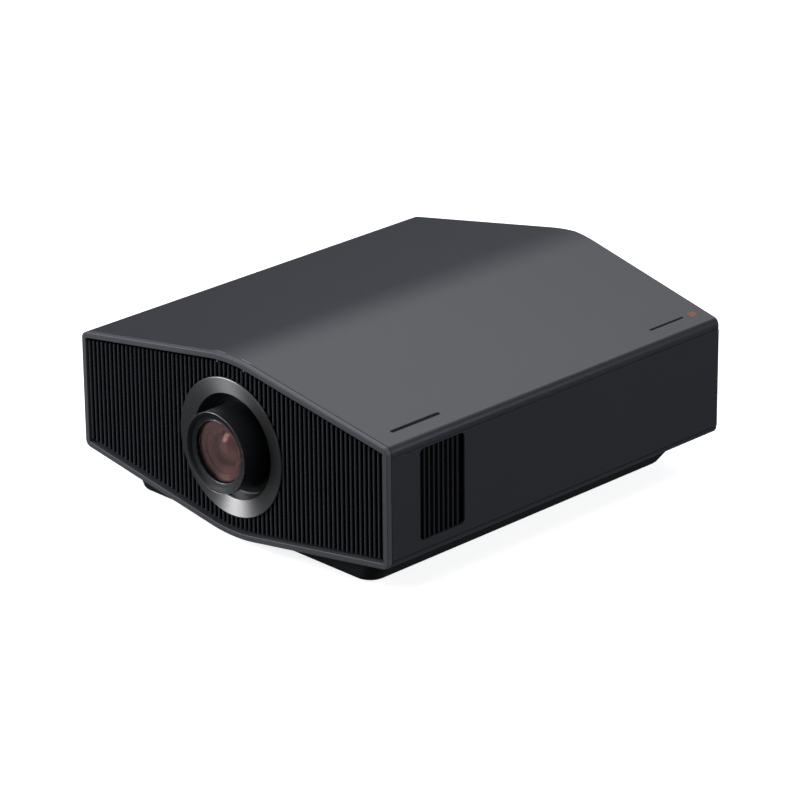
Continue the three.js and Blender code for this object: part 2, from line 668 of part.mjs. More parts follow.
// The fixed plate, with a round window wide enough for every shift and two upright guide rods.
function lensMountPlate() {
  const yRange = plateY(2);
  const plate = block([-MOUNT_PLATE_HALF_WIDTH, MOUNT_PLATE_HALF_WIDTH], yRange,
    [CHASSIS_TOP + TOUCH_GAP, CENTRE_Z + MOUNT_PLATE_ABOVE_CENTRE]);
  const window = bar('y', TUBE_RADIUS + SHIFT_REACH + 6, 0, 200, [0, CENTRE_Z], 28);
  const ears = [];
  for (const x of [-GUIDE_ROD_SPREAD, GUIDE_ROD_SPREAD]) {
    for (const z of rodZ) {
      ears.push(block([x - 6, x + 6], [rodY - 5, yRange[0] + 1], [z - 2, z + 2]));
    }
    ears.push(bar('z', GUIDE_ROD_RADIUS, ...rodZ, [x, rodY], 20));
  }
  return plate.subtract(window).add(joined(ears));
}

// The plate that slides up and down on the guide rods and carries two cross rods.
function verticalCarriage() {
  const yRange = plateY(1);
  const [halfWidth, halfHeight] = VERTICAL_PLATE_HALF;
  const plate = block([-halfWidth, halfWidth], yRange, [CENTRE_Z - halfHeight, CENTRE_Z + halfHeight]);
  const armY = [yRange[0] - 5, yRange[1]];
  const armZ = [CENTRE_Z - 10, CENTRE_Z + 10];
  const arms = [
    block([VERTICAL_SCREW_X - 6, 1 - halfWidth], armY, armZ),
    block([halfWidth - 1, GUIDE_ROD_SPREAD + 6], armY, armZ),
  ];
  const lugs = [];
  for (const z of crossRodZ) {
    for (const x of [4 - halfWidth, halfWidth - 4]) {
      lugs.push(block([x - 4, x + 4], [crossRodY - 3, yRange[0] + 1], [z - 6, z + 6]));
    }
    lugs.push(bar('x', CROSS_ROD_RADIUS, -CROSS_ROD_HALF_LENGTH, CROSS_ROD_HALF_LENGTH, [crossRodY, z], 16));
  }
  const window = bar('y', TUBE_RADIUS + SHIFT_ACROSS + 2, yRange[0] - 1, yRange[1] + 1, [0, CENTRE_Z], 28);
  const rodHoles = [-GUIDE_ROD_SPREAD, GUIDE_ROD_SPREAD].map((x) =>
    bar('z', GUIDE_ROD_RADIUS + SLIDE_GAP, 0, 300, [x, rodY], 20));
  const nut = bar('z', SCREW_RADIUS + SLIDE_GAP, 0, 300, [VERTICAL_SCREW_X, rodY], 16);
  return plate.subtract(window).add(joined([...arms, ...lugs])).subtract(joined([...rodHoles, nut]));
}

// The plate that slides sideways on the cross rods and holds the lens tube.
function sidewaysCarriage() {
  const yRange = plateY(0);
  const [halfWidth, halfHeight] = SIDEWAYS_PLATE_HALF;
  const xRange = [-halfWidth, halfWidth];
  const plate = block(xRange, yRange, [CENTRE_Z - halfHeight, CENTRE_Z + halfHeight]);
  const blocks = crossRodZ.map((z) => block(xRange, [yRange[0] - 2, yRange[1]], [z - 4, z + 4]));
  const tab = block([-6, 6], [crossScrew[0] - 4, yRange[1]], [CENTRE_Z + 54, crossScrew[1] + 4]);
  const bore = bar('y', TUBE_RADIUS + SLIDE_GAP, 0, 200, [0, CENTRE_Z], 28);
  const rods = crossRodZ.map((z) => bar('x', CROSS_ROD_RADIUS + SLIDE_GAP, -200, 200, [crossRodY, z], 16));
  const nut = bar('x', SCREW_RADIUS + SLIDE_GAP, -200, 200, crossScrew, 16);
  return joined([plate, ...blocks, tab]).subtract(bore).subtract(joined([...rods, nut]));
}

addPiece('lens_mount_plate', lensMountPlate(), aluminium);
addPiece('vertical_shift_carriage', verticalCarriage(), aluminium);
addPiece('sideways_shift_carriage', sidewaysCarriage(), aluminium);

// Each carriage is driven by a lead screw on its own small motor.
const screwTop = rodZ[1] + 3;
const verticalScrew = [VERTICAL_SCREW_X, rodY];
const [crossStart, crossEnd] = CROSS_SCREW_ENDS;
const upright = bar('z', SCREW_RADIUS, rodZ[0], screwTop, verticalScrew, 16);
const uprightMotor = bar('z', SHIFT_MOTOR_RADIUS, screwTop + FIT_GAP, screwTop + 18, verticalScrew, 20);
const level = bar('x', SCREW_RADIUS, crossStart, crossEnd, crossScrew, 16);
const levelMotor = bar('x', SHIFT_MOTOR_RADIUS, crossEnd + FIT_GAP, crossEnd + 19, crossScrew, 20);
addPiece('vertical_shift_screw', upright, polishedSteel);
addPiece('vertical_shift_motor', uprightMotor, polishedSteel);
addPiece('sideways_shift_screw', level, polishedSteel);
addPiece('sideways_shift_motor', levelMotor, polishedSteel);

// ---- Lens ----

// The sliding front barrel: a cup whose dished face has the round opening for the glass.
function frontBarrel() {
  const front = -LENS_REACH;
  const inside = BARREL_RADIUS - 0.8 - BARREL_WALL;
  return turned([
    [BARREL_RADIUS, front],
    [BARREL_RADIUS, front + 3],
    [BARREL_RADIUS - 0.8, front + 3.6],
    [BARREL_RADIUS - 0.8, 44],
    [inside, 44],
    [inside, front + 14],
    [FRONT_GLASS_RADIUS + 0.3, front + 14],
    [FRONT_GLASS_RADIUS + 0.3, front + FACE_DISH + 2.6],
    [FACE_HOLE_RADIUS, front + FACE_DISH],
  ]);
}

// A glass element with one domed face to the front and one to the back.
function lensElement(radius, frontY, backY, frontBulge, backBulge, segments = 24) {
  const steps = 3;
  const corners = [[0, frontY - frontBulge]];
  for (let i = 1; i <= steps; i += 1) {
    const share = i / steps;
    corners.push([radius * share, frontY - frontBulge * (1 - share * share)]);
  }
  for (let i = steps; i >= 1; i -= 1) {
    const share = i / steps;
    corners.push([radius * share, backY + backBulge * (1 - share * share)]);
  }
  corners.push([0, backY + backBulge]);
  return turned(corners, segments);
}

const glassFront = -LENS_REACH + FACE_DISH + 3;
const tubeStart = SHROUD_END + 2;
const tubeEnd = tubeStart + TUBE_LENGTH;
const flangeY = plateY(0)[0] - 2.3;
const motorY = [SHROUD_END + 33.5, flangeY - 3.5];

function lensTube() {
  const inner = TUBE_RADIUS - TUBE_WALL + 0.5;
  const rearRadius = 30;
  return turned([
    [inner, tubeStart - 1.7],
    [TUBE_RADIUS, tubeStart - 1.7],
    [TUBE_RADIUS, flangeY - 3],
    [TUBE_RADIUS + 4, flangeY - 3],
    [TUBE_RADIUS + 4, flangeY],
    [TUBE_RADIUS, flangeY],
    [TUBE_RADIUS, tubeEnd],
    [rearRadius, tubeEnd],
    [rearRadius, tubeEnd + 26],
    [rearRadius - 3, tubeEnd + 26],
    [rearRadius - 3, tubeEnd - 3],
    [inner, tubeEnd - 3],
  ]);
}

const driveStart = SHROUD_END + 6;
function driveRing(index) {
  const start = driveStart + index * (DRIVE_RING_WIDTH + 1.5);
  const inner = TUBE_RADIUS + 0.4;
  return tube(inner + DRIVE_RING_WALL, inner, start, start + DRIVE_RING_WIDTH);
}

addPiece('lens_shroud', lensShroud(), glossBlack);
addPiece('front_barrel', frontBarrel(), barrelGrey);
const frontElement = lensElement(FRONT_GLASS_RADIUS, glassFront + 2, glassFront + 7, 4, -2);
addPiece('front_lens_element', frontElement, coatedGlass);
addPiece('lens_tube', lensTube(), mattBlack);
addPiece('focus_ring', driveRing(0), mattBlack);
addPiece('zoom_ring', driveRing(1), mattBlack);

const zoomLensY = 66;
const zoomLensRadius = TUBE_RADIUS - TUBE_WALL;
addPiece('zoom_lens_element', lensElement(zoomLensRadius, zoomLensY, zoomLensY + 8, 3, 3), opticalGlass);

// Each drive ring is turned by a small pinion on its own motor, above the tube on either side.
const driveReach = TUBE_RADIUS + 0.4 + DRIVE_RING_WALL + 0.4 + PINION_RADIUS;
for (const [name, index, side] of [['focus', 0, -1], ['zoom', 1, 1]]) {
  const angle = THREE.MathUtils.degToRad(45);
  const at = [side * driveReach * Math.sin(angle), CENTRE_Z + driveReach * Math.cos(angle)];
  const start = driveStart + index * (DRIVE_RING_WIDTH + 1.5);
  const pinion = bar('y', PINION_RADIUS, start + 1, start + DRIVE_RING_WIDTH - 1, at, 24);
  const shaft = bar('y', 1.5, start + DRIVE_RING_WIDTH - 2, motorY[0] - 0.4, at, 8);
  addPiece(`${name}_pinion`, pinion.add(shaft), brass);
  addPiece(`${name}_motor`, bar('y', MOTOR_RADIUS, ...motorY, at, 14), polishedSteel);
}

// ---- Light engine ----

// An open-topped housing behind the lens, with a window in its front wall and a boss for the wheel motor.
const wheelAt = [-68, CENTRE_Z - 4];
const wheelY = 206;

function opticsHousing() {
  const [x0, x1] = HOUSING_X;
  const [y0, y1] = HOUSING_Y;
  const outside = block(HOUSING_X, HOUSING_Y, [CHASSIS_TOP + TOUCH_GAP, boardZ - 14]);
  const hollow = block([x0 + HOUSING_WALL, x1 - HOUSING_WALL], [y0 + HOUSING_WALL, y1 - HOUSING_WALL],
    [CHASSIS_TOP + 6, boardZ]);
  const window = bar('y', 24, y0 - 1, y0 + 4, [0, CENTRE_Z], 20);
  const bracket = block([wheelAt[0] - 6, x0 + 1], [wheelY + 5, wheelY + 13],
    [CHASSIS_TOP + TOUCH_GAP, wheelAt[1] - 8]);
  const boss = bar('y', 14, wheelY + 5, wheelY + 25, wheelAt, 16);
  const axle = bar('y', 3, wheelY - 4, wheelY + 6, wheelAt, 16);
  return outside.subtract(hollow).subtract(window).add(joined([bracket, boss, axle]));
}

// The colour-combining cube with one imaging panel on each of three sides.
function prismBlock() {
  const side = half(PRISM_SIZE);
  const start = HOUSING_Y[0] + 8;
  const cube = block([-side, side], [start, start + PRISM_SIZE], [CENTRE_Z - side, CENTRE_Z + side]);
  const panelHalf = side - 3;
  const panelZ = [CENTRE_Z - panelHalf, CENTRE_Z + panelHalf];
  const back = start + PRISM_SIZE;
  const panels = [
    block([-side - 4, -side + 1], [start + 3, back - 3], panelZ),
    block([side - 1, side + 4], [start + 3, back - 3], panelZ),
    block([-panelHalf, panelHalf], [back - 1, back + 4], panelZ),
  ];
  const foot = block([-8, 8], [start + 9, back - 9], [CHASSIS_TOP + 6.3, CENTRE_Z - side + 1]);
  return joined([cube, ...panels, foot]);
}

addPiece('optics_housing', opticsHousing(), mattBlack);
addPiece('prism_block', prismBlock(), opticalGlass);
addPiece('phosphor_wheel', tube(WHEEL_RADIUS, 3.4, wheelY, wheelY + 2, 28, ...wheelAt), phosphorYellow);

// Blue lasers on a finned heat sink, on the left behind the fan.
function heatSink() {
  const base = block(SINK_X, [SINK_Y[1] - 8, SINK_Y[1]], [CHASSIS_TOP + TOUCH_GAP, CENTRE_Z + 46]);
  const fins = [];
  const pitch = (SINK_X[1] - SINK_X[0] - 2) / (HEAT_SINK_FINS - 1);
  for (let i = 0; i < HEAT_SINK_FINS; i += 1) {
    const x = SINK_X[0] + i * pitch;
    fins.push(block([x, x + 2], [SINK_Y[0], SINK_Y[1] - 7], [CHASSIS_TOP + TOUCH_GAP, CENTRE_Z + 46]));
  }
  return base.add(joined(fins));
}

// Two rows of four laser cans on a plate behind the heat sink.
function laserModule() {
  const start = SINK_Y[1] + 0.4;
  const plate = block([SINK_X[0] + 8, SINK_X[1] - 4], [start, start + 12], [CENTRE_Z - 34, CENTRE_Z + 34]);
  const caps = [];
  for (let row = 0; row < 2; row += 1) {
    for (let column = 0; column < 4; column += 1) {
      const at = [SINK_X[0] + 20 + column * 18, CENTRE_Z - 16 + row * 32];
      caps.push(bar('y', 5, start + 11, start + 17, at, 8));
    }
  }
  return plate.add(joined(caps));
}

addPiece('laser_heat_sink', heatSink(), aluminium);
addPiece('laser_module', laserModule(), brass);

// ---- Fans ----

function fanFrame(x) {
  const size = half(FAN_SIZE);
  const frame = block([x - size, x + size], [FAN_Y, FAN_Y + FAN_DEPTH], [CENTRE_Z - size, CENTRE_Z + size]);
  const bore = bar('y', size - 2, FAN_Y - 1, FAN_Y + FAN_DEPTH + 1, [x, CENTRE_Z], 28);
  const struts = [0, 120, 240].map((degrees) => {
    const strut = new THREE.BoxGeometry(size, 3, 4);
    strut.translate(half(size), 0, 0);
    strut.rotateY(THREE.MathUtils.degToRad(degrees + 30));
    strut.translate(x, FAN_Y + FAN_DEPTH - 1.5, CENTRE_Z);
    return solidFrom(strut);
  });
  const core = bar('y', FAN_HUB_RADIUS, FAN_Y + FAN_DEPTH - 3, FAN_Y + FAN_DEPTH, [x, CENTRE_Z], 18);
  return frame.subtract(bore).add(joined([core, ...struts]));
}

function fanRotor(x) {
  const hub = bar('y', FAN_HUB_RADIUS, FAN_Y + 2, FAN_Y + FAN_DEPTH - 4, [x, CENTRE_Z], 18);
  const reach = half(FAN_SIZE) - 4;
  const blades = [];
  for (let i = 0; i < FAN_BLADES; i += 1) {
    const blade = new THREE.BoxGeometry(reach - FAN_HUB_RADIUS + 2, 1.6, 20);
    blade.rotateX(THREE.MathUtils.degToRad(48));
    blade.translate(half(reach + FAN_HUB_RADIUS) - 1, 0, 0);
    blade.rotateY((2 * Math.PI * i) / FAN_BLADES);
    blade.translate(x, FAN_Y + half(FAN_DEPTH) - 1, CENTRE_Z);
    blades.push(solidFrom(blade));
  }
  const sweep = bar('y', reach, FAN_Y + 2, FAN_Y + FAN_DEPTH - 4, [x, CENTRE_Z], 28);
  return joined([hub, ...blades]).intersect(sweep);
}

for (const [side, x] of [['left', -FAN_X], ['right', FAN_X]]) {
  addPiece(`${side}_fan_frame`, fanFrame(x), mattBlack);
  addPiece(`${side}_fan_rotor`, fanRotor(x), connectorBlack);
}

// ---- Electronics ----

// The board over the light engine: the video chip under its cooler, memory, and the socket block.
function mainBoard() {
  const sheet = block(BOARD_X, BOARD_Y, [boardZ, boardZ + BOARD_THICKNESS]);
  const top = boardZ + BOARD_THICKNESS;
  const chips = [
    block([-24, 24], [260, 308], [top - 0.5, top + 10]),
    block([-70, -44], [220, 246], [top - 0.5, top + 3]),
    block([44, 66], [330, 352], [top - 0.5, top + 3]),
    block([-86, -40], [400, 424], [top - 0.5, top + 8]),
  ];
  return sheet.add(joined(chips));
}

// The mains board: transformer, two upright coolers, two capacitors and a choke.
function powerSupply() {
  const z = CHASSIS_TOP + SUPPLY_RAISE;
  const board = block(SUPPLY_X, SUPPLY_Y, [z, z + BOARD_THICKNESS]);
  const top = z + BOARD_THICKNESS - 0.5;
  const parts = [
    block([124, 168], [330, 380], [top, top + 40]),
    block([130, 190], [240, 250], [top, top + 48]),
    block([130, 190], [180, 190], [top, top + 48]),
    bar('z', 13, top, top + 38, [186, 290], 12),
    bar('z', 13, top, top + 38, [140, 290], 12),
    block([120, 150], [200, 226], [top, top + 26]),
  ];
  const footX = [SUPPLY_X[0] + 8, SUPPLY_X[1] - 8];
  const footY = [SUPPLY_Y[0] + 10, SUPPLY_Y[1] - 10];
  const feet = footX.flatMap((x) => footY.map((y) =>
    bar('z', 4, CHASSIS_TOP + TOUCH_GAP, z + 0.5, [x, y], 12)));
  return board.add(joined([...parts, ...feet]));
}

addPiece('main_board', mainBoard(), boardGreen);
addPiece('power_supply', powerSupply(), boardGreen);

export default projector;
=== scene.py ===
# Home-cinema laser projector: its visible shells, grille, lens, controls and sockets, made around the CAD frame.
# Shapes are worked out in millimetres, with y measured back from the front of the bezel as in the part's
# own drawing, and are turned into metres when a mesh is made.
import json
import math

import bmesh
import bpy
from mathutils import Matrix, Vector


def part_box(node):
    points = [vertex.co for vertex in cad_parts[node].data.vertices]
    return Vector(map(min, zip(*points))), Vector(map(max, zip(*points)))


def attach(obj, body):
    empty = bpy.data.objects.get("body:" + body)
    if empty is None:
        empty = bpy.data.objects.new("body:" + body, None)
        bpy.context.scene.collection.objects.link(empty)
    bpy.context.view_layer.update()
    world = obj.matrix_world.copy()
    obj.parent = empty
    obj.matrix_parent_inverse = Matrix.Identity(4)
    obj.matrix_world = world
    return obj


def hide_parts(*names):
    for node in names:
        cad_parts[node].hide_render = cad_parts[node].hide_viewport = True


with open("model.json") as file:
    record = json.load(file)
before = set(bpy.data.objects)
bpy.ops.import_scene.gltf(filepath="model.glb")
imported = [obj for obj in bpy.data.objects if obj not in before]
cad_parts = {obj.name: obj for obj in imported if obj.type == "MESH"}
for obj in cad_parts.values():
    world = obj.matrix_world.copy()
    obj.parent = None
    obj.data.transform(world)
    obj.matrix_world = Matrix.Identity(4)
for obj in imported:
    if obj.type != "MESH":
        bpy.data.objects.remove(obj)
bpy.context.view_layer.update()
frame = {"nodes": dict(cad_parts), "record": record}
MM = 0.001


# ---- Sizes read from the frame ----

def node_box(node):
    low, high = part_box(node)
    return Vector(low) / MM, Vector(high) / MM


cover_low, cover_high = node_box("top_cover")
bezel_low, bezel_high = node_box("front_bezel")
ring_low, ring_high = node_box("lens_surround_ring")
barrel_low, barrel_high = node_box("front_barrel")
shroud_low, shroud_high = node_box("lens_shroud")
panel_low, panel_high = node_box("right_side_panel")
bay_low, bay_high = node_box("terminal_bay")
belly_high = node_box("bottom_casing")[1]
plinth_low = node_box("base_plinth")[0]

FRONT_Y = bezel_low.y
HALF_WIDTH = cover_high.x
CENTRE_Z = (ring_low.z + ring_high.z) / 2
POINT_Y = cover_high.y - FRONT_Y
SIDE_DEPTH = panel_high.y - FRONT_Y
RING_RADIUS = ring_high.x
BARREL_RADIUS = barrel_high.x
SEAM_TOP = cover_low.z
SEAM_BOTTOM = panel_low.z

# Shape values of the cabinet that a box doesn't give.
RIDGE_RISE = 37.3
CREST_RADIUS = 200
CORNER_RADIUS = 8
WALL = 2.5
GAP = 0.4
BEZEL_WIDTH = 6.5
BEZEL_DEPTH = 6
SLAT_FRONT = 2.2
VENT_RECESS = 1.8
SLOPE = RIDGE_RISE / HALF_WIDTH
STRETCH = math.hypot(1, SLOPE)
RIDGE_HALF = cover_high.z - CENTRE_Z + CREST_RADIUS * (STRETCH - 1)
REAR_SLOPE = (POINT_Y - SIDE_DEPTH) / HALF_WIDTH


# ---- Small helpers for nodes, colours and meshes ----

def linear(hex_colour):
    """An sRGB hex colour as a linear RGBA colour."""
    channels = [int(hex_colour[i:i + 2], 16) / 255 for i in (1, 3, 5)]
    bent = [c / 12.92 if c <= 0.04045 else ((c + 0.055) / 1.055) ** 2.4 for c in channels]
    return (*bent, 1)


def add_node(tree, kind, inputs=None, **settings):
    """Add a node, set its properties, and fill or link its inputs by name or number."""
    node = tree.nodes.new(kind)
    for key, value in settings.items():
        setattr(node, key, value)
    for key, value in (inputs or {}).items():
        if isinstance(value, bpy.types.NodeSocket):
            tree.links.new(value, node.inputs[key])
        else:
            node.inputs[key].default_value = value
    return node


def calc(tree, operation, *values):
    return add_node(tree, "ShaderNodeMath", dict(enumerate(values)), operation=operation).outputs[0]


def rounded(corners, steps=4):
    """A closed outline through (u, v, radius) corners, each an arc; a corner may name its own steps."""
    points = []
    for i, (u, v, radius, *own_steps) in enumerate(corners):
        here = Vector((u, v))
        if radius == 0:
            points.append(here)
            continue
        count = own_steps[0] if own_steps else steps
        before = (Vector(corners[i - 1][:2]) - here).normalized()
        after = (Vector(corners[(i + 1) % len(corners)][:2]) - here).normalized()
        half_angle = before.angle(after) / 2
        centre = here + (before + after).normalized() * (radius / math.sin(half_angle))
        start = here + before * (radius / math.tan(half_angle)) - centre
        side = 1 if before.cross(after) < 0 else -1
        for step in range(count + 1):
            angle = side * (math.pi - 2 * half_angle) * step / count
            points.append(centre + Matrix.Rotation(angle, 2) @ start)
    return points


def box_outline(u, v, radius, steps=4):
    return rounded([(u[1], v[0], radius), (u[1], v[1], radius), (u[0], v[1], radius), (u[0], v[0], radius)], steps)


def skin(bm, rings, closed_along=False, closed_round=True, cap=True):
    """Join equal rings of points into a skin; a ring is a list of points in millimetres."""
    rows = [[bm.verts.new(Vector(point) * MM) for point in ring] for ring in rings]
    follow = rows[1:] + ([rows[0]] if closed_along else [])
    for row, other in zip(rows, follow):
        count = len(row)
        for i in range(count if closed_round else count - 1):
            j = (i + 1) % count
            bm.faces.new((row[i], row[j], other[j], other[i]))
    if cap and not closed_along:
        bm.faces.new(rows[0])
        bm.faces.new(rows[-1])


def on_axis(axis, along, a, b):
    """A point from its distance along an axis and its two other values in x, y, z order."""
    x, y, z = {"x": (along, a, b), "y": (a, along, b), "z": (a, b, along)}[axis]
    return x, FRONT_Y + y, z


def round_points(radius, count, middle=(0, 0)):
    """Points round a circle, from its right side on."""
    angles = [2 * math.pi * i / count for i in range(count)]
    return [(middle[0] + radius * math.cos(a), middle[1] + radius * math.sin(a)) for a in angles]


def lathe(bm, profile, segments=96, axis="y", at=(0, CENTRE_Z)):
    """Turn a closed (radius, along) profile about an axis; at is where the axis is on the other two."""
    rings = []
    for u, v in round_points(1, segments):
        rings.append([on_axis(axis, along, at[0] + r * u, at[1] + r * v) for r, along in profile])
    skin(bm, rings, closed_along=True)


def stack(bm, levels):
    """Join upright outlines, each given as its (x, z) points and its y from the bezel front."""
    skin(bm, [[(u, FRONT_Y + y, v) for u, v in outline] for outline, y in levels])


def box(bm, x, y, z):
    """A block between two x, two y and two z; y is measured from the bezel front."""
    corners = [(x[0], z[0]), (x[1], z[0]), (x[1], z[1]), (x[0], z[1])]
    stack(bm, [(corners, depth) for depth in y])


def rod(bm, axis, radius, ends, at, segments=32):
    """A round bar along x, y or z; at is its centre on the other two axes, in x, y, z order."""
    skin(bm, [[on_axis(axis, end, a, b) for a, b in round_points(radius, segments, at)] for end in ends])


def plate(bm, outlines, thickness, place):
    """A flat sheet with holes: the first outline is its edge, the rest are holes, place puts (u, v, w) in space."""
    curve = bpy.data.curves.new("outline", "CURVE")
    curve.dimensions = "2D"
    curve.fill_mode = "BOTH"
    curve.extrude = thickness / 2
    for outline in outlines:
        spline = curve.splines.new("POLY")
        spline.points.add(len(outline) - 1)
        for point, (u, v) in zip(spline.points, outline):
            point.co = (u, v, 0, 1)
        spline.use_cyclic_u = True
    holder = bpy.data.objects.new("outline", curve)
    flat = bpy.data.meshes.new_from_object(holder)
    first = len(bm.verts)
    bm.from_mesh(flat)
    bm.verts.ensure_lookup_table()
    for vert in bm.verts[first:]:
        x, y, z = place(vert.co.x, vert.co.y, vert.co.z + thickness / 2)
        vert.co = Vector((x, FRONT_Y + y, z)) * MM
    bpy.data.objects.remove(holder)
    bpy.data.curves.remove(curve)
    bpy.data.meshes.remove(flat)


WELD = 1e-7
SHARP = math.radians(32)


def tidy(bm, edge=0.0, segments=2):
    """Weld, turn the faces outwards and round the sharp edges by a radius in millimetres."""
    bmesh.ops.remove_doubles(bm, verts=bm.verts, dist=WELD)
    bmesh.ops.dissolve_degenerate(bm, edges=bm.edges, dist=WELD)
    bmesh.ops.recalc_face_normals(bm, faces=bm.faces)
    if edge:
        sharp = [e for e in bm.edges if e.is_manifold and e.calc_face_angle() > SHARP]
        bmesh.ops.bevel(bm, geom=sharp, offset=edge * MM, segments=segments, profile=0.5,
                        affect="EDGES", clamp_overlap=True)


def add_piece(name, bm, material, body="root", replaces=(), edge=0.0):
    """Finish a mesh as a named piece that rides on a body and stands for CAD nodes."""
    tidy(bm, edge)
    mesh = bpy.data.meshes.new(name)
    bm.to_mesh(mesh)
    bm.free()
    return add_mesh(name, mesh, material, body, replaces)


def settle_normals(piece):
    """Let large flat faces keep their own normal up to their rounded edges, so that light lies evenly on them."""
    piece.modifiers.new("weighted_normals", "WEIGHTED_NORMAL").keep_sharp = True
    rough = piece.data
    finished = piece.evaluated_get(bpy.context.evaluated_depsgraph_get())
    plain = bpy.data.meshes.new_from_object(finished)
    piece.modifiers.clear()
    piece.data = plain
    bpy.data.meshes.remove(rough)
    plain.name = piece.name


def add_mesh(name, mesh, material, body="root", replaces=()):
    mesh.shade_smooth()
    mesh.set_sharp_from_angle(angle=SHARP)
    if material and not mesh.materials:
        mesh.materials.append(material)
    piece = bpy.data.objects.new(name, mesh)
    bpy.context.scene.collection.objects.link(piece)
    settle_normals(piece)
    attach(piece, body)
    if replaces:
        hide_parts(*replaces)
    return piece


def turned(name, profile, material, body="root", replaces=(), segments=96, axis="y", at=(0, CENTRE_Z)):
    """A piece turned from one closed profile."""
    bm = bmesh.new()
    lathe(bm, profile, segments, axis, at)
    add_piece(name, bm, material, body, replaces)


def sheet(name, outlines, thickness, place, material, replaces=(), edge=0.0):
    """A piece cut from one flat sheet."""
    bm = bmesh.new()
    plate(bm, outlines, thickness, place)
    add_piece(name, bm, material, replaces=replaces, edge=edge)


# ---- Materials ----

def start_material(name, colour, roughness, **constants):
    """A Principled material with its constants on the shader's own sockets; names use _ for a space."""
    material = bpy.data.materials.new(name)
    material.use_nodes = True
    tree = material.node_tree
    shader = tree.nodes["Principled BSDF"]
    shader.inputs["Base Color"].default_value = linear(colour)
    shader.inputs["Roughness"].default_value = roughness
    for key, value in constants.items():
        shader.inputs[key.replace("_", " ")].default_value = value
    place = add_node(tree, "ShaderNodeTexCoord").outputs["Object"]
    return material, tree, shader, place


def noise(tree, place, size_mm, detail=2.0):
    return add_node(tree, "ShaderNodeTexNoise",
                    {"Vector": place, "Scale": 1 / (size_mm * MM), "Detail": detail}).outputs["Fac"]


def stretched(tree, place, scale):
    return add_node(tree, "ShaderNodeMapping", {"Vector": place, "Scale": scale}).outputs[0]


def tint(tree, shader, factor, colour, other):
    """Let the base colour go from one colour to another as a 0-1 factor goes up."""
    mix = add_node(tree, "ShaderNodeMix", {"Factor": factor}, data_type="RGBA")
    mix.inputs["A"].default_value = linear(colour)
    mix.inputs["B"].default_value = linear(other)
    tree.links.new(mix.outputs["Result"], shader.inputs["Base Color"])


def gloss(tree, shader, factor, low, high):
    """Let the roughness go from low to high as the middle half of a 0-1 factor goes up."""
    level = add_node(tree, "ShaderNodeMapRange",
                     {"Value": factor, "From Min": 0.25, "From Max": 0.75, "To Min": low, "To Max": high})
    tree.links.new(level.outputs[0], shader.inputs["Roughness"])


def relief(tree, shader, height, depth_mm):
    bump = add_node(tree, "ShaderNodeBump", {"Height": height, "Distance": depth_mm * MM})
    tree.links.new(bump.outputs[0], shader.inputs["Normal"])


def moulded(name, colour, other, roughness, grain_mm, depth_mm, **constants):
    """Injection-moulded plastic: a faint drift of colour, a fine spark-eroded grain and uneven gloss."""
    material, tree, shader, place = start_material(name, colour, roughness, **constants)
    tint(tree, shader, noise(tree, place, 60), colour, other)
    grain = noise(tree, place, grain_mm, 3)
    gloss(tree, shader, grain, roughness - 0.04, roughness + 0.05)
    relief(tree, shader, grain, depth_mm)
    return material


def brushed(name, colour, other, roughness, along):
    """Metal with fine lines along one axis; along is a scale vector that stretches the noise."""
    material, tree, shader, place = start_material(name, colour, roughness, Metallic=1)
    lines = noise(tree, stretched(tree, place, along), 1.2, 4)
    tint(tree, shader, lines, colour, other)
    gloss(tree, shader, lines, roughness - 0.06, roughness + 0.08)
    relief(tree, shader, lines, 0.01)
    return material


def glass(name, colour, other, roughness, drift_mm, **constants):
    """Glass whose tint drifts a little over its width."""
    material, tree, shader, place = start_material(name, colour, roughness, **constants)
    tint(tree, shader, noise(tree, place, drift_mm), colour, other)
    return material


def painted_shade_flanks(name, colour, axis, nose, depth):
    """Grey slats whose flanks turn black with depth, as painted shade in the gaps; axis is the way they face into
    the body.
    """
    material, tree, shader, place = start_material(name, colour, 0.27, Specular_IOR_Level=0.6)
    parts = add_node(tree, "ShaderNodeSeparateXYZ", {0: place})
    # The grey gives way to black over the last part of the nose, as painted shade on the flanks, so each slat is a
    # thin grey line between black gaps.
    flank_shade = add_node(tree, "ShaderNodeMapRange", {
        "Value": parts.outputs[axis], "From Min": nose * MM, "From Max": (nose + depth) * MM},
                    interpolation_type="SMOOTHSTEP")
    tint(tree, shader, flank_shade.outputs[0], colour, "#040405")
    grain = noise(tree, place, 1.2, 3)
    gloss(tree, shader, grain, 0.26, 0.29)
    relief(tree, shader, grain, 0.001)
    return material


def spun_ring():
    # Spun and dark-anodised aluminium: circular lines spread the light into two bright fans, above and below.
    material, tree, shader, place = start_material("spun_aluminium_ring", "#868583", 0.4, Metallic=1,
                                                   Anisotropic=0.85, Anisotropic_Rotation=0.25)
    tangent = add_node(tree, "ShaderNodeTangent", direction_type="RADIAL", axis="Y")
    tree.links.new(tangent.outputs[0], shader.inputs["Tangent"])
    grain = noise(tree, place, 0.9, 3)
    gloss(tree, shader, grain, 0.37, 0.43)
    tint(tree, shader, grain, "#838280", "#8A8987")
    relief(tree, shader, grain, 0.004)
    return material


def light_pipe():
    # Acrylic light pipe in front of a lamp that is off: a slightly frosted grey point.
    material, tree, shader, place = start_material("acrylic_light_pipe", "#7C848A", 0.2, Transmission_Weight=0.3)
    frost = noise(tree, place, 0.8)
    gloss(tree, shader, frost, 0.14, 0.3)
    tint(tree, shader, frost, "#7C848A", "#6B7379")
    return material


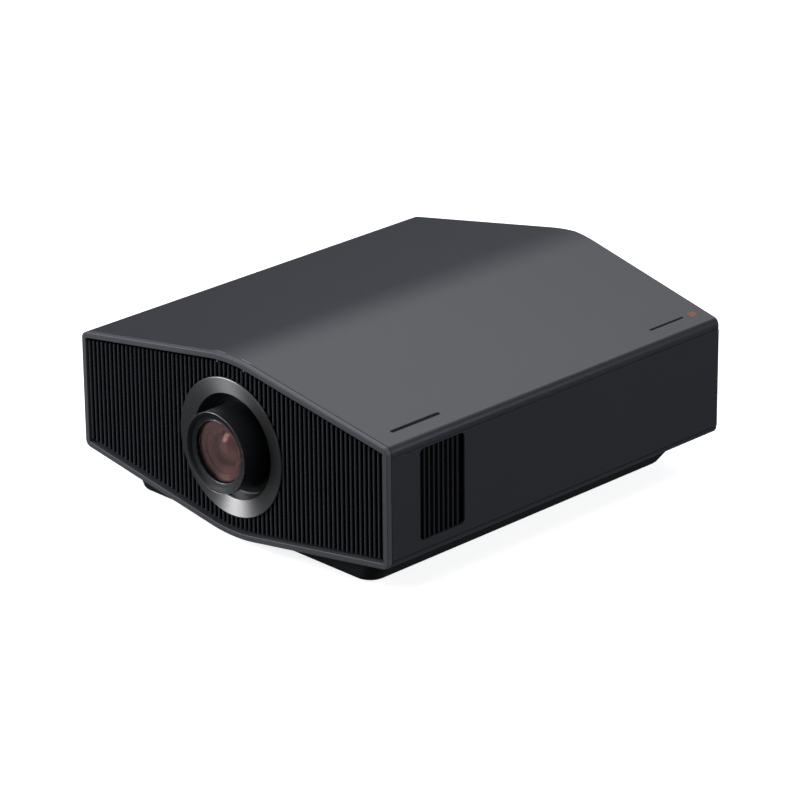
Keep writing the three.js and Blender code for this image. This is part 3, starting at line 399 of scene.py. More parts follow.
def zinc_sheet():
    # Zinc-coated steel sheet: pale grey crystals 8 mm across, each at its own brightness.
    material, tree, shader, place = start_material("zinc_coated_steel", "#8F9396", 0.42, Metallic=1)
    crystals = add_node(tree, "ShaderNodeTexVoronoi", {"Vector": place, "Scale": 1 / (8 * MM)})
    level = add_node(tree, "ShaderNodeSeparateColor", {"Color": crystals.outputs["Color"]}).outputs[0]
    tint(tree, shader, level, "#82868A", "#A0A4A7")
    gloss(tree, shader, level, 0.34, 0.5)
    return material


def circuit_board():
    # Glass-epoxy board under green solder mask: copper traces show as lighter lines on a 5 mm grid.
    material, tree, shader, place = start_material("solder_masked_board", "#12402A", 0.38, Coat_Weight=0.3)
    cells = add_node(tree, "ShaderNodeTexVoronoi", {
        "Vector": stretched(tree, place, (1, 0.35, 1)), "Scale": 1 / (5 * MM)}, feature="DISTANCE_TO_EDGE")
    trace = calc(tree, "LESS_THAN", cells.outputs[0], 0.05)
    tint(tree, shader, trace, "#12402A", "#2C6A48")
    relief(tree, shader, trace, 0.03)
    return material


def filter_foam():
    # Reticulated polyurethane foam, 30 pores to the inch: open cells 0.9 mm across, drawn at 1.8 mm.
    material, tree, shader, place = start_material("reticulated_foam", "#1B1C1E", 0.95)
    pores = add_node(tree, "ShaderNodeTexVoronoi", {"Vector": place, "Scale": 1 / (1.8 * MM)}).outputs[0]
    tint(tree, shader, pores, "#0B0B0C", "#2A2C2E")
    relief(tree, shader, pores, 0.6)
    return material


# Spark-eroded ABS: dark slate grey with a satin bloom. The real grain is about 0.2 mm; it is drawn at 1.4 mm so
# that it still breaks up the highlight.
SHELL = moulded("textured_abs_slate", "#2D2F34", "#2A2C31", 0.4, 1.4, 0.012, Specular_IOR_Level=0.42)
# Smooth ABS with a satin paint: a shade lighter than the shells, with a soft line of light on its edge.
BEZEL = moulded("painted_abs_bezel", "#525356", "#4D4E51", 0.44, 1.1, 0.006, Specular_IOR_Level=0.36)
# Grey noses over flanks darkened as painted shade: each slat catches one thin grey line, and each vent bar a darker
# one.
SLAT = painted_shade_flanks("painted_slat_noses", "#505257", 1, FRONT_Y + SLAT_FRONT + 0.5, 1.6)
VENT_BAR = painted_shade_flanks("painted_vent_bars", "#1F2023", 0, HALF_WIDTH - VENT_RECESS - 0.3, -1.3)
# Matt black ABS: coarse grain, almost no shine.
BLACK = moulded("matt_black_abs", "#070708", "#0A0A0B", 0.6, 1.6, 0.02, Specular_IOR_Level=0.22)
# Satin black liner round the barrel: a deep shadow, with one soft crescent of light above and one below.
LINER = moulded("satin_black_liner", "#030303", "#050506", 0.4, 1.0, 0.006, Specular_IOR_Level=0.3)
RING = spun_ring()
# Bead-blasted, black-anodised aluminium: dark grey with a broad soft highlight.
BARREL = moulded("black_anodised_barrel", "#17181A", "#1A1B1D", 0.5, 1.0, 0.008, Specular_IOR_Level=0.3)
# Diamond-cut edge of the barrel: bare aluminium, bright as a thin wire.
EDGE = brushed("diamond_cut_edge", "#8E9094", "#9A9CA0", 0.25, (1, 1, 1))
# Optical glass with a multi-layer coating: a wine-red tint over clear depth.
GLASS = glass("coated_optical_glass", "#D5B3AE", "#CAA6A0", 0.03, 22, IOR=1.33, Transmission_Weight=0.97)
# The elements behind the first: the milky wine red that their coating throws back is set in the base colour as a
# painted reflection; the last is coloured darker still, as painted shade deep in the barrel, and its clear coat
# gives it a real sharp highlight.
INNER_GLASS = glass("milky_coated_glass", "#2E1718", "#231112", 0.4, 15, IOR=1.4, Coat_Weight=0.3,
                    Coat_Roughness=0.12)
DEEP_GLASS = glass("deep_coated_glass", "#201012", "#170B0D", 0.4, 15, IOR=1.4, Coat_Weight=1.0,
                   Coat_Roughness=0.03)
# Ground glass edge and blackened retaining rings: dull, with a last trace of the coating's wine tint.
GLASS_RIM = moulded("blackened_glass_rim", "#1E1213", "#170D0E", 0.5, 1.2, 0.01, Specular_IOR_Level=0.3)
# Plain optical glass: clear, with a faint cool tint in its depth.
CLEAR = glass("clear_optical_glass", "#DDE6EA", "#CFDDE4", 0.03, 18, IOR=1.52, Transmission_Weight=0.9)
PIPE = light_pipe()
# Moulded nitrile rubber: dead matt, a little dusty.
RUBBER = moulded("nitrile_rubber", "#0D0D0D", "#131313", 0.86, 0.9, 0.02, Specular_IOR_Level=0.25)
ZINC = zinc_sheet()
# Cold-drawn bright steel: fine lines along the bar.
STEEL = brushed("bright_drawn_steel", "#A9ABAD", "#BCBEC0", 0.3, (1, 12, 12))
# Die-cast and milled aluminium: grey-white, with cutter lines.
ALUMINIUM = brushed("milled_aluminium", "#A2A5A8", "#B2B5B7", 0.38, (10, 1, 1))
# Free-cutting brass: warm yellow with turning lines.
BRASS = brushed("turned_brass", "#B08A3C", "#C49F4F", 0.3, (1, 12, 1))
BOARD = circuit_board()
# Phosphor powder baked on a disc: chalky lemon yellow.
PHOSPHOR = moulded("phosphor_coating", "#C9B53C", "#D6C552", 0.75, 0.9, 0.03)
FOAM = filter_foam()
# Screen-printed ink: a pale grey line a little less glossy than the plastic under it.
PRINT = moulded("pale_screen_ink", "#8E9196", "#84878C", 0.5, 1.5, 0.004)
# Screen-printed ink in near black, as an unlettered badge bar.
DARK_PRINT = moulded("black_screen_ink", "#08080A", "#0B0B0C", 0.7, 1.5, 0.004, Specular_IOR_Level=0.1)
# Copper-coloured ink under a matt lacquer: a muted warm square.
COPPER = moulded("copper_ink", "#9A6650", "#8A5A46", 0.6, 1.5, 0.004, Specular_IOR_Level=0.2)

SLOT_MATERIALS = {
    "shell": SHELL, "bezel": BEZEL, "slats": SLAT, "ring": RING, "base_black": BLACK, "gloss_black": LINER,
    "barrel": BARREL, "lens_black": BLACK, "coated_glass": GLASS, "clear_glass": CLEAR, "light_pipe": PIPE,
    "rubber": RUBBER, "connector_black": BLACK, "steel": STEEL, "sheet_steel": ZINC, "aluminium": ALUMINIUM,
    "brass": BRASS, "board": BOARD, "phosphor": PHOSPHOR, "foam": FOAM,
}


def dress_frame():
    """Give every CAD node the material of its slot."""
    for row in frame["record"]["subparts"]:
        node = frame["nodes"][row["node"]]
        node.data.materials.clear()
        node.data.materials.append(SLOT_MATERIALS[row["material_slot"]])


dress_frame()


# ---- Cabinet ----

CORNER_STEPS = 8
CREST_STEPS = 24


def cabinet_outline(inset):
    """The six-sided section, moved in by an even inset, counter-clockwise from the lower right corner."""
    side = HALF_WIDTH - inset
    ridge = RIDGE_HALF - inset * STRETCH
    shoulder = ridge - SLOPE * side
    corner = max(CORNER_RADIUS - inset, 0.6)
    crest = CREST_RADIUS - inset
    return rounded([
        (side, -shoulder, corner), (side, shoulder, corner), (0, ridge, crest, CREST_STEPS),
        (-side, shoulder, corner), (-side, -shoulder, corner), (0, -ridge, crest, CREST_STEPS),
    ], CORNER_STEPS)


def cabinet_band(inset, part):
    """The whole section, or the part of it above the upper seam or below the lower one, as (x, z) points."""
    points = [(x, CENTRE_Z + z) for x, z in cabinet_outline(inset)]
    side = HALF_WIDTH - inset
    if part == "top":
        return [(side, SEAM_TOP), *[p for p in points if p[1] > SEAM_TOP], (-side, SEAM_TOP)]
    if part == "bottom":
        seam = belly_high.z
        start = next(i for i, p in enumerate(points) if p[0] < 0 and p[1] < seam)
        from_left = points[start:] + points[:start]
        return [(-side, seam), *[p for p in from_left if p[1] < seam], (side, seam)]
    return points


def cabinet_loft(bm, profile, part="all"):
    """Sweep a closed (inset, y) profile along the section; its rear points follow the arrow-shaped back."""
    bands = [cabinet_band(inset, part) for inset, _ in profile]
    rings = []
    for i in range(len(bands[0])):
        ring = []
        for (_, y), band in zip(profile, bands):
            x, z = band[i]
            back = y - REAR_SLOPE * abs(x) if y > POINT_Y / 2 else y
            ring.append((x, FRONT_Y + back, z))
        rings.append(ring)
    skin(bm, rings, closed_along=part == "all")


SHELL_EDGE = 0.7
SHELL_START = BEZEL_DEPTH + GAP


def cover(name, part, node):
    """The top cover or the bottom casing: one wall bent over the ridge or the keel."""
    bm = bmesh.new()
    profile = rounded([(0, SHELL_START, SHELL_EDGE), (0, POINT_Y, 1.2), (WALL, POINT_Y, 0.3),
                       (WALL, SHELL_START, 0.3)], 3)
    cabinet_loft(bm, profile, part)
    add_piece(name, bm, SHELL, replaces=[node])


cover("top_cover_shell", "top", "top_cover")
cover("bottom_casing_shell", "bottom", "bottom_casing")


def front_bezel():
    """A slim frame round the slats, with a rounded outer edge and a step behind it for the shells."""
    bm = bmesh.new()
    back = bezel_high.y - FRONT_Y
    profile = rounded([(0, 0, 1.1), (0, BEZEL_DEPTH, 0.4), (WALL + GAP, BEZEL_DEPTH, 0), (WALL + GAP, back, 0),
                       (BEZEL_WIDTH, back, 0), (BEZEL_WIDTH, 0, 0.8)], 4)
    cabinet_loft(bm, profile)
    add_piece("front_bezel_frame", bm, BEZEL, replaces=["front_bezel"])


front_bezel()


# ---- Slatted front ----

SLAT_PITCH = 6.6
SLAT_COUNT = 68
SLAT_WIDTH = 2.9
SLAT_DEPTH = 7
SLAT_TIP_INSET = BEZEL_WIDTH + 2.4
RING_BACK_RADIUS = RING_RADIUS - 1


def geo(tree, kind, inputs=None, **settings):
    """A Geometry Nodes node, as its first output."""
    return add_node(tree, "GeometryNode" + kind, inputs, **settings).outputs[0]


def finish_tree(tree, given, result, geometry):
    """Give the geometry its material and hand it to the output."""
    painted = geo(tree, "SetMaterial", {"Geometry": geometry, "Material": given["Material"]})
    tree.links.new(painted, result.inputs[0])
    return tree


def new_tree(name, inputs):
    """A Geometry Nodes tree with named inputs and one geometry output; returns it with its two end nodes."""
    tree = bpy.data.node_groups.new(name, "GeometryNodeTree")
    tree.interface.new_socket("Geometry", in_out="OUTPUT", socket_type="NodeSocketGeometry")
    for label, kind in inputs.items():
        tree.interface.new_socket(label, in_out="INPUT", socket_type="NodeSocket" + kind)
    given = add_node(tree, "NodeGroupInput").outputs
    result = add_node(tree, "NodeGroupOutput")
    return tree, given, result


def grow(name, tree, values):
    """Run a Geometry Nodes tree once and keep its result as a plain mesh."""
    holder = bpy.data.objects.new(name, bpy.data.meshes.new(name))
    bpy.context.scene.collection.objects.link(holder)
    modifier = holder.modifiers.new(name, "NODES")
    modifier.node_group = tree
    for item in tree.interface.items_tree:
        if item.in_out == "INPUT" and item.name in values:
            modifier[item.identifier] = values[item.name]
    evaluated = holder.evaluated_get(bpy.context.evaluated_depsgraph_get())
    mesh = bpy.data.meshes.new_from_object(evaluated)
    bpy.data.objects.remove(holder)
    return mesh


def slat_tree():
    """Upright slats on a line. Each runs from rim to rim of the section, or from a rim to the lens ring."""
    numbers = ("Pitch", "Width", "Depth", "Front", "Centre Height", "Ridge Height", "Slope", "Ridge Softness",
               "Ring Radius", "Tip Round")
    tree, given, result = new_tree("slatted_front", {
        "Count": "Int", **{label: "Float" for label in numbers}, "Material": "Material"})
    add, subtract, multiply, divide, power, root = (
        lambda *values, kind=kind: calc(tree, kind, *values)
        for kind in ("ADD", "SUBTRACT", "MULTIPLY", "DIVIDE", "POWER", "SQRT"))

    def vector(x=0.0, y=0.0, z=0.0):
        return add_node(tree, "ShaderNodeCombineXYZ", {0: x, 1: y, 2: z}).outputs[0]

    def position():
        return add_node(tree, "ShaderNodeSeparateXYZ", {0: geo(tree, "InputPosition")}).outputs

    def store(geometry, name, value):
        return geo(tree, "StoreNamedAttribute", {"Geometry": geometry, "Name": name, "Value": value},
                   data_type="FLOAT", domain="POINT")

    def read(name):
        return geo(tree, "InputNamedAttribute", {"Name": name}, data_type="FLOAT")

    # One blade of unit length, wide and deep as given; its fall is how far its ends curve back at each point.
    blank = geo(tree, "MeshCylinder", {
        "Vertices": 14, "Side Segments": 1, "Fill Segments": 3, "Radius": 1.0, "Depth": 1.0})
    at = position()
    reach = add(power(at[0], 2.0), power(at[1], 2.0))
    marked = store(blank, "fall", subtract(1.0, root(subtract(1.0, reach))))
    size = vector(divide(given["Width"], 2.0), divide(given["Depth"], 2.0), 1.0)
    blade = geo(tree, "Transform", {"Geometry": marked, "Translation": (0, 0, 0.5), "Scale": size})
    span = multiply(subtract(given["Count"], 1.0), given["Pitch"])
    line = geo(tree, "MeshLine", {
        "Count": given["Count"], "Start Location": vector(divide(span, -2.0)), "Offset": vector(given["Pitch"])})
    placed = store(line, "slat_x", calc(tree, "ABSOLUTE", position()[0]))

    # Where each slat starts and ends, measured up from the middle of the section.
    near_ring = calc(tree, "LESS_THAN", read("slat_x"), given["Ring Radius"])
    drop = multiply(given["Slope"], read("slat_x"))
    rim = calc(tree, "SMOOTH_MIN", subtract(given["Ridge Height"], drop), add(given["Ridge Height"], drop),
               given["Ridge Softness"])
    ring_edge = root(subtract(power(given["Ring Radius"], 2.0), power(read("slat_x"), 2.0)))
    low = subtract(multiply(ring_edge, near_ring), multiply(rim, subtract(1.0, near_ring)))
    both = add_node(tree, "GeometryNodeJoinGeometry")
    for side in (-1.0, 1.0):
        inputs = {"Points": placed, "Instance": blade}
        if side < 0:
            inputs["Selection"] = near_ring
        real = geo(tree, "RealizeInstances", {0: geo(tree, "InstanceOnPoints", inputs)})
        here = position()
        rounding = multiply(read("fall"), given["Tip Round"])
        length = subtract(subtract(rim, low), multiply(rounding, 2.0))
        height = add(add(low, rounding), multiply(here[2], length))
        goal = vector(here[0], add(here[1], given["Front"]), add(multiply(height, side), given["Centre Height"]))
        moved = geo(tree, "SetPosition", {"Geometry": real, "Position": goal})
        if side < 0:
            moved = geo(tree, "FlipFaces", {0: moved})
        tree.links.new(moved, both.inputs[0])
    plain = both.outputs[0]
    for name in ("fall", "slat_x"):
        plain = geo(tree, "RemoveAttribute", {"Geometry": plain, "Name": name})
    return finish_tree(tree, given, result, plain)


def slats():
    ridge = RIDGE_HALF - SLAT_TIP_INSET * STRETCH
    crest_drop = (CREST_RADIUS - SLAT_TIP_INSET) * (STRETCH - 1)
    mesh = grow("front_slats", slat_tree(), {
        "Count": SLAT_COUNT, "Pitch": SLAT_PITCH * MM, "Width": SLAT_WIDTH * MM, "Depth": SLAT_DEPTH * MM,
        "Front": (FRONT_Y + SLAT_FRONT + SLAT_DEPTH / 2) * MM, "Centre Height": CENTRE_Z * MM,
        "Ridge Height": ridge * MM, "Slope": SLOPE, "Ridge Softness": crest_drop * 6 * MM,
        "Ring Radius": RING_BACK_RADIUS * MM, "Tip Round": 1.6 * MM, "Material": SLAT})
    add_mesh("front_slats", mesh, SLAT, replaces=["front_grille"])


slats()


def slat_backing():
    """A black sheet behind the slats, as painted shade for the inside of the body, with a round hole for the lens.
    """
    outline = [Vector((x, CENTRE_Z + z)) for x, z in cabinet_outline(BEZEL_WIDTH + 0.3)]
    sheet("front_dust_screen", [outline, round_points(RING_BACK_RADIUS, 96, (0, CENTRE_Z))], 1,
          lambda u, v, w: (u, SLAT_FRONT + SLAT_DEPTH - 0.4 + w, v), BLACK)


slat_backing()


# ---- Lens ----

RING_HOLE_RADIUS = 57.5
RING_FRONT = ring_low.y - FRONT_Y
RING_DISH = 3.4


def lens_ring():
    """A dished ring, spun from thick sheet, with a soft inner lip."""
    turned("lens_ring", rounded([
        (RING_HOLE_RADIUS, RING_FRONT + RING_DISH, 0.7), (RING_RADIUS, RING_FRONT, 0.7),
        (RING_RADIUS, RING_FRONT + 2.4, 0.2), (RING_HOLE_RADIUS, RING_FRONT + RING_DISH + 2.4, 0.2),
    ], 4), RING, replaces=["lens_surround_ring"], segments=160)


def lens_throat():
    """The black funnel between the ring and the barrel."""
    start, end = shroud_low.y - FRONT_Y, shroud_high.y - FRONT_Y
    outer, inner = shroud_high.x, BARREL_RADIUS + 1.8
    turned("lens_throat", rounded([
        (outer, start, 0.3), (outer, start + 1.4, 0.3), (inner + 9, end, 3), (inner, end, 0.3),
        (inner, end - 1.6, 0.3), (inner + 7, end - 1.8, 4),
    ], 5), LINER, "sideways_shift", ["lens_shroud"], 128)


BARREL_FRONT = barrel_low.y - FRONT_Y
BARREL_BACK = barrel_high.y - FRONT_Y
FACE_HOLE_RADIUS = 33.6
GLASS_SEAT_RADIUS = 34.6
FRONT_GLASS_RADIUS = 32.6
FACE_DISH = 4.5


def barrel():
    """The front barrel: straight sides, a bright rim, and a dished face round the glass."""
    side = BARREL_RADIUS - 0.8
    face = BARREL_FRONT + 0.7
    dish = BARREL_FRONT + FACE_DISH
    turned("barrel_body", rounded([
        (side - 0.6, face, 0.5), (side, face + 1.2, 0.4), (side, BARREL_BACK, 0.4), (side - 2.4, BARREL_BACK, 0.4),
        (side - 2.4, BARREL_FRONT + 14, 0.4), (GLASS_SEAT_RADIUS, BARREL_FRONT + 14, 0.3),
        (GLASS_SEAT_RADIUS, dish + 2.2, 0), (FACE_HOLE_RADIUS, dish + 1, 0.3), (FACE_HOLE_RADIUS + 1.2, dish, 0.4),
        (38.5, BARREL_FRONT + 3.6, 1.5), (side - 2.6, face + 0.5, 1.2),
    ], 4), BARREL, "front_group", ["front_barrel"], 128)


def edge_ring(name, radius, y, thickness):
    """A thin diamond-cut ring that catches the light."""
    half = thickness / 2
    corners = box_outline((radius - half, radius + half), (y - half, y + half), half * 0.6, 3)
    turned(name, corners, EDGE, "front_group", segments=128)


def glass_disc(name, radius, front, back, bulge, material, replaces=()):
    """A round glass element: a domed front, a shallow hollow back and a ground rim."""
    steps = 14
    profile = [(radius * i / steps, front - bulge * (1 - (i / steps) ** 2)) for i in range(steps + 1)]
    profile += [(radius * i / steps, back - bulge * 0.35 * (1 - (i / steps) ** 2)) for i in range(steps, -1, -1)]
    turned(name, profile, material, "front_group", replaces)


# Outer radius, inner radius and depth behind the front glass of each stepped element that shows through it.
INNER_STEPS = [(31.8, 25.2, 2.2), (25.4, 18.6, 6.0)]
LAST_RADIUS = 18.4
LAST_DEPTH = 13
LAST_BULGE = 7.5


def lens():
    lens_ring()
    lens_throat()
    barrel()
    edge_ring("barrel_outer_edge", BARREL_RADIUS - 1.3, BARREL_FRONT + 0.75, 0.7)
    edge_ring("barrel_inner_edge", FACE_HOLE_RADIUS + 0.6, BARREL_FRONT + FACE_DISH + 0.4, 0.5)
    glass_front = BARREL_FRONT + FACE_DISH + 4.2
    glass_disc("front_glass", FRONT_GLASS_RADIUS, glass_front, glass_front + 2.2, 3.4, GLASS,
               ["front_lens_element"])
    for index, (outer, inner, depth) in enumerate(INNER_STEPS, 1):
        y = glass_front + depth
        turned(f"inner_glass_{index}", rounded([
            (outer, y, 0.4), (outer, y + 2.6, 0.2), (inner, y + 2.6, 0.2), (inner, y + 1.8, 0.3),
        ], 4), INNER_GLASS, "front_group")
        turned(f"inner_rim_{index}", rounded([
            (inner + 1.2, y + 2.7, 0.2), (inner + 1.2, y + 5.6, 0.2), (inner - 0.6, y + 5.6, 0.2),
            (inner - 0.2, y + 2.7, 0.2),
        ], 2), GLASS_RIM, "front_group")
    last_front = glass_front + LAST_DEPTH
    glass_disc("last_glass", LAST_RADIUS, last_front, last_front + 2.4, LAST_BULGE, DEEP_GLASS)


lens()


def indicator_lights():
    for side in ("left", "right"):
        low, high = node_box(f"{side}_indicator_light")
        x, z = (low.x + high.x) / 2, (low.z + high.z) / 2
        bm = bmesh.new()
        rod(bm, "y", 1.25, (SLAT_FRONT + 0.6, SLAT_FRONT + SLAT_DEPTH), (x, z), 20)
        add_piece(f"{side}_light", bm, PIPE, replaces=[f"{side}_indicator_light"], edge=0.5)


indicator_lights()


def printed_marks():
    """Two short pale lines over the lamps, and two unlettered badge bars and a copper square on the right facet."""
    for name, x0, x1 in (("left_lamp_mark", -28, -12), ("right_lamp_mark", 12, 27)):
        stamp(name, (x0, x1), (7.0, 8.0), PRINT)
    stamp("front_badge_bar", (203, 207.5), (30, 98), DARK_PRINT)
    stamp("rear_badge_bar", (204, 207), (412, 464), DARK_PRINT)
    stamp("rear_badge_square", (202, 210), (473, 483), COPPER)


def roof_height(x):
    """Height of the roof over an x, crest included."""
    crest = CREST_RADIUS * SLOPE / STRETCH
    if abs(x) < crest:
        return CENTRE_Z + RIDGE_HALF - CREST_RADIUS * STRETCH + math.sqrt(CREST_RADIUS ** 2 - x * x)
    return CENTRE_Z + RIDGE_HALF - SLOPE * abs(x)


INK = 0.06
INK_STEP = 3


def stamp(name, x, y, material):
    """A thin print on the roof that follows its slope and crest, with softened corners."""
    radius = min(0.35 * min(x[1] - x[0], y[1] - y[0]), 0.8)
    bm = bmesh.new()
    plate(bm, [box_outline(x, y, radius)], INK, lambda u, v, w: (u, v, w + 0.01))
    tidy(bm)
    cut = x[0] + INK_STEP
    while cut < x[1]:
        everything = bm.verts[:] + bm.edges[:] + bm.faces[:]
        bmesh.ops.bisect_plane(bm, geom=everything, dist=WELD, plane_co=(cut * MM, 0, 0), plane_no=(1, 0, 0))
        cut += INK_STEP
    for vert in bm.verts:
        vert.co.z += roof_height(vert.co.x / MM) * MM
    add_piece(name, bm, material)


printed_marks()


# ---- Side panels ----

VENT_START = 46.2
VENT_LENGTH = 62.8
VENT_HEIGHT = 100.4
VENT_RAISE = 2.3
VENT_PITCH = 6.7
VENT_BARS = 8
VENT_MIDDLE = (VENT_START + VENT_LENGTH / 2, CENTRE_Z + VENT_RAISE)


def centred_box(middle, width, height, radius, steps=5):
    u, v = middle
    return box_outline((u - width / 2, u + width / 2), (v - height / 2, v + height / 2), radius, steps)


# The seams are drawn a little wider than they are cut, so that they read as fine black lines.
SEAM_EXTRA = 0.3
panel_outline = box_outline((SHELL_START, SIDE_DEPTH), (panel_low.z + SEAM_EXTRA, panel_high.z - SEAM_EXTRA),
                            0.6, 2)


def right_panel():
    window = centred_box(VENT_MIDDLE, VENT_LENGTH, VENT_HEIGHT, 5)
    sheet("right_panel_shell", [panel_outline, window], WALL, lambda u, v, w: (HALF_WIDTH - WALL + w, u, v),
          SHELL, ["right_side_panel"], 0.45)


right_panel()


LINER_THICKNESS = 1.2
LINER_HALF_HEIGHT = 3


def seam_liners():
    """Black gasket strips behind the two seams of each side, so that no light shows through them."""
    bm = bmesh.new()
    for side in (-1, 1):
        outside = side * (HALF_WIDTH - WALL - 0.2)
        x = sorted((outside, outside - side * LINER_THICKNESS))
        for z in (SEAM_TOP, SEAM_BOTTOM):
            box(bm, x, (SHELL_START + 10, SIDE_DEPTH - 1.5), (z - LINER_HALF_HEIGHT, z + LINER_HALF_HEIGHT))
    add_piece("seam_liners", bm, BLACK, edge=0.3)


seam_liners()


def repeat_tree():
    """Copies of one piece in a row, at an even step."""
    tree, given, result = new_tree("even_row", {
        "Piece": "Object", "Count": "Int", "First": "Vector", "Step": "Vector", "Material": "Material"})
    piece = add_node(tree, "GeometryNodeObjectInfo", {"Object": given["Piece"]})
    line = geo(tree, "MeshLine", {
        "Count": given["Count"], "Start Location": given["First"], "Offset": given["Step"]})
    row = geo(tree, "InstanceOnPoints", {"Points": line, "Instance": piece.outputs["Geometry"]})
    return finish_tree(tree, given, result, geo(tree, "RealizeInstances", {0: row}))


EVEN_ROW = repeat_tree()


def row_mesh(name, bm, count, first, step, material, edge=0.0):
    """A row of copies of the piece in bm, as one plain mesh; first and step are in millimetres."""
    tidy(bm, edge)
    mesh = bpy.data.meshes.new(name)
    bm.to_mesh(mesh)
    bm.free()
    template = bpy.data.objects.new(name + "_template", mesh)
    bpy.context.scene.collection.objects.link(template)
    made = grow(name, EVEN_ROW, {"Piece": template, "Count": count, "First": Vector(first) * MM,
                                 "Step": Vector(step) * MM, "Material": material})
    bpy.data.objects.remove(template)
    return made


def upright_bar(width, depth, height, radius):
    """One bar with rounded edges, centred on the origin: width along y, depth along x."""
    bm = bmesh.new()
    outline = centred_box((0, 0), depth, width, radius, 4)
    skin(bm, [[(u, v, z) for u, v in outline] for z in (-height / 2, height / 2)])
    return bm


def side_vent():
    first = (HALF_WIDTH - VENT_RECESS - 1.6, FRONT_Y + VENT_MIDDLE[0] - (VENT_BARS - 1) / 2 * VENT_PITCH,
             VENT_MIDDLE[1])
    bars = row_mesh("side_vent_bars", upright_bar(2.7, 3.2, VENT_HEIGHT - 0.6, 1.134), VENT_BARS, first,
                    (0, VENT_PITCH, 0), VENT_BAR)
    add_mesh("side_vent_bars", bars, VENT_BAR, replaces=["side_vent_grille"])

    def opening(grow_by, radius):
        return centred_box(VENT_MIDDLE, VENT_LENGTH + grow_by, VENT_HEIGHT + grow_by, radius)

    sheet("side_vent_frame", [opening(6, 6), opening(-0.4, 5)], 3,
          lambda u, v, w: (HALF_WIDTH - WALL - 3.2 + w, u, v), BLACK, edge=0.3)
    # A black sheet behind the vent bars: painted shade for the inside of the body.
    sheet("side_vent_screen", [opening(5, 5)], 0.6, lambda u, v, w: (HALF_WIDTH - WALL - 4.4 + w, u, v),
          BLACK)


side_vent()


# ---- Controls on the left side ----

def control_middle(node):
    low, high = node_box(node)
    return ((low.y + high.y) / 2 - FRONT_Y, (low.z + high.z) / 2)


PAD_MIDDLE = control_middle("enter_button")
ROUND_BUTTONS = ("power_button", "menu_button")
BUTTON_RADIUS = 6
PAD_RADIUS = 16
CAP_FACE = -HALF_WIDTH + 0.3


def left_panel():
    holes = [round_points(BUTTON_RADIUS + GAP, 48, control_middle(name)) for name in ROUND_BUTTONS]
    holes.append(round_points(PAD_RADIUS + GAP, 64, PAD_MIDDLE))
    sheet("left_panel_shell", [panel_outline, *holes], WALL, lambda u, v, w: (-HALF_WIDTH + w, u, v),
          SHELL, ["left_side_panel"], 0.45)


left_panel()


ICON = 0.25


def round_button(node, radius):
    """A dished round cap with a soft edge and a flange behind the panel."""
    high = node_box(node)[1]
    profile = rounded([(0.001, CAP_FACE + 0.35, 0), (radius - 1.6, CAP_FACE + 0.1, 2), (radius, CAP_FACE, 0.5),
                       (radius, high.x - 1.4, 0.2), (radius + 1.6, high.x - 1.4, 0.2), (radius + 1.6, high.x, 0.2),
                       (0.001, high.x, 0)], 4)
    turned(f"{node}_cap", profile, BEZEL, node, [node], 48, "x", control_middle(node))


def icon(node, name, strokes):
    """Raised strokes on a cap's face: each is a (y, z, width, height) block about the cap's middle."""
    bm = bmesh.new()
    middle, face = control_middle(node), CAP_FACE + 0.3
    for y, z, width, height in strokes:
        u, v = middle[0] + y, middle[1] + z
        box(bm, (face - ICON, face + 0.2), (u - width / 2, u + width / 2), (v - height / 2, v + height / 2))
    add_piece(name, bm, PRINT, node, edge=0.08)


KEY_RADII = (15.9, 8.2)
KEY_SPLIT = 0.45


def key_quarter(node, degrees):
    """One quarter of the ring of arrow keys, with rounded edges and a raised arrow."""
    points = []
    for radius, step in zip(KEY_RADII, (1, -1)):
        slip = math.degrees(math.asin(KEY_SPLIT / radius))
        angles = [degrees - 45 + slip + (90 - 2 * slip) * i / 12 for i in range(13)]
        points += [(radius * math.cos(math.radians(a)), radius * math.sin(math.radians(a))) for a in angles[::step]]
    turn = Matrix.Rotation(math.radians(degrees), 2)
    arrow = [turn @ Vector(point) for point in ((13.6, 0), (11, 1.7), (11, -1.7))]

    def prism(outline, ends):
        bm = bmesh.new()
        skin(bm, [[(x, FRONT_Y + PAD_MIDDLE[0] + u, PAD_MIDDLE[1] + v) for u, v in outline] for x in ends])
        return bm

    cap = prism(points, (CAP_FACE, node_box(node)[1].x))
    add_piece(f"{node}_cap", cap, BEZEL, node, [node], edge=0.5)
    add_piece(f"{node}_arrow", prism(arrow, (CAP_FACE - 0.06, CAP_FACE + 0.3)), PRINT, node)


def controls():
    for node in (*ROUND_BUTTONS, "enter_button"):
        round_button(node, BUTTON_RADIUS)
    icon("power_button", "power_icon", [(0, 0, 0.6, 4)])
    icon("menu_button", "menu_icon", [(0, 1.4, 4, 0.6), (0, 0, 4, 0.6), (0, -1.4, 4, 0.6)])
    icon("enter_button", "enter_icon", [(0, 0, 1.6, 1.6)])
    for node, degrees in (("back_key", 0), ("up_key", 90), ("front_key", 180), ("down_key", 270)):
        key_quarter(node, degrees)


controls()


# ---- Base and feet ----

PLINTH_HALF = 177
PLINTH_START = 26
PLINTH_END = 468
PLINTH_BOTTOM = plinth_low.z
FLARE_SIDE = 0.68
FLARE_REAR = 0.45


def belly_height(x):
    return 2 * CENTRE_Z - roof_height(x)


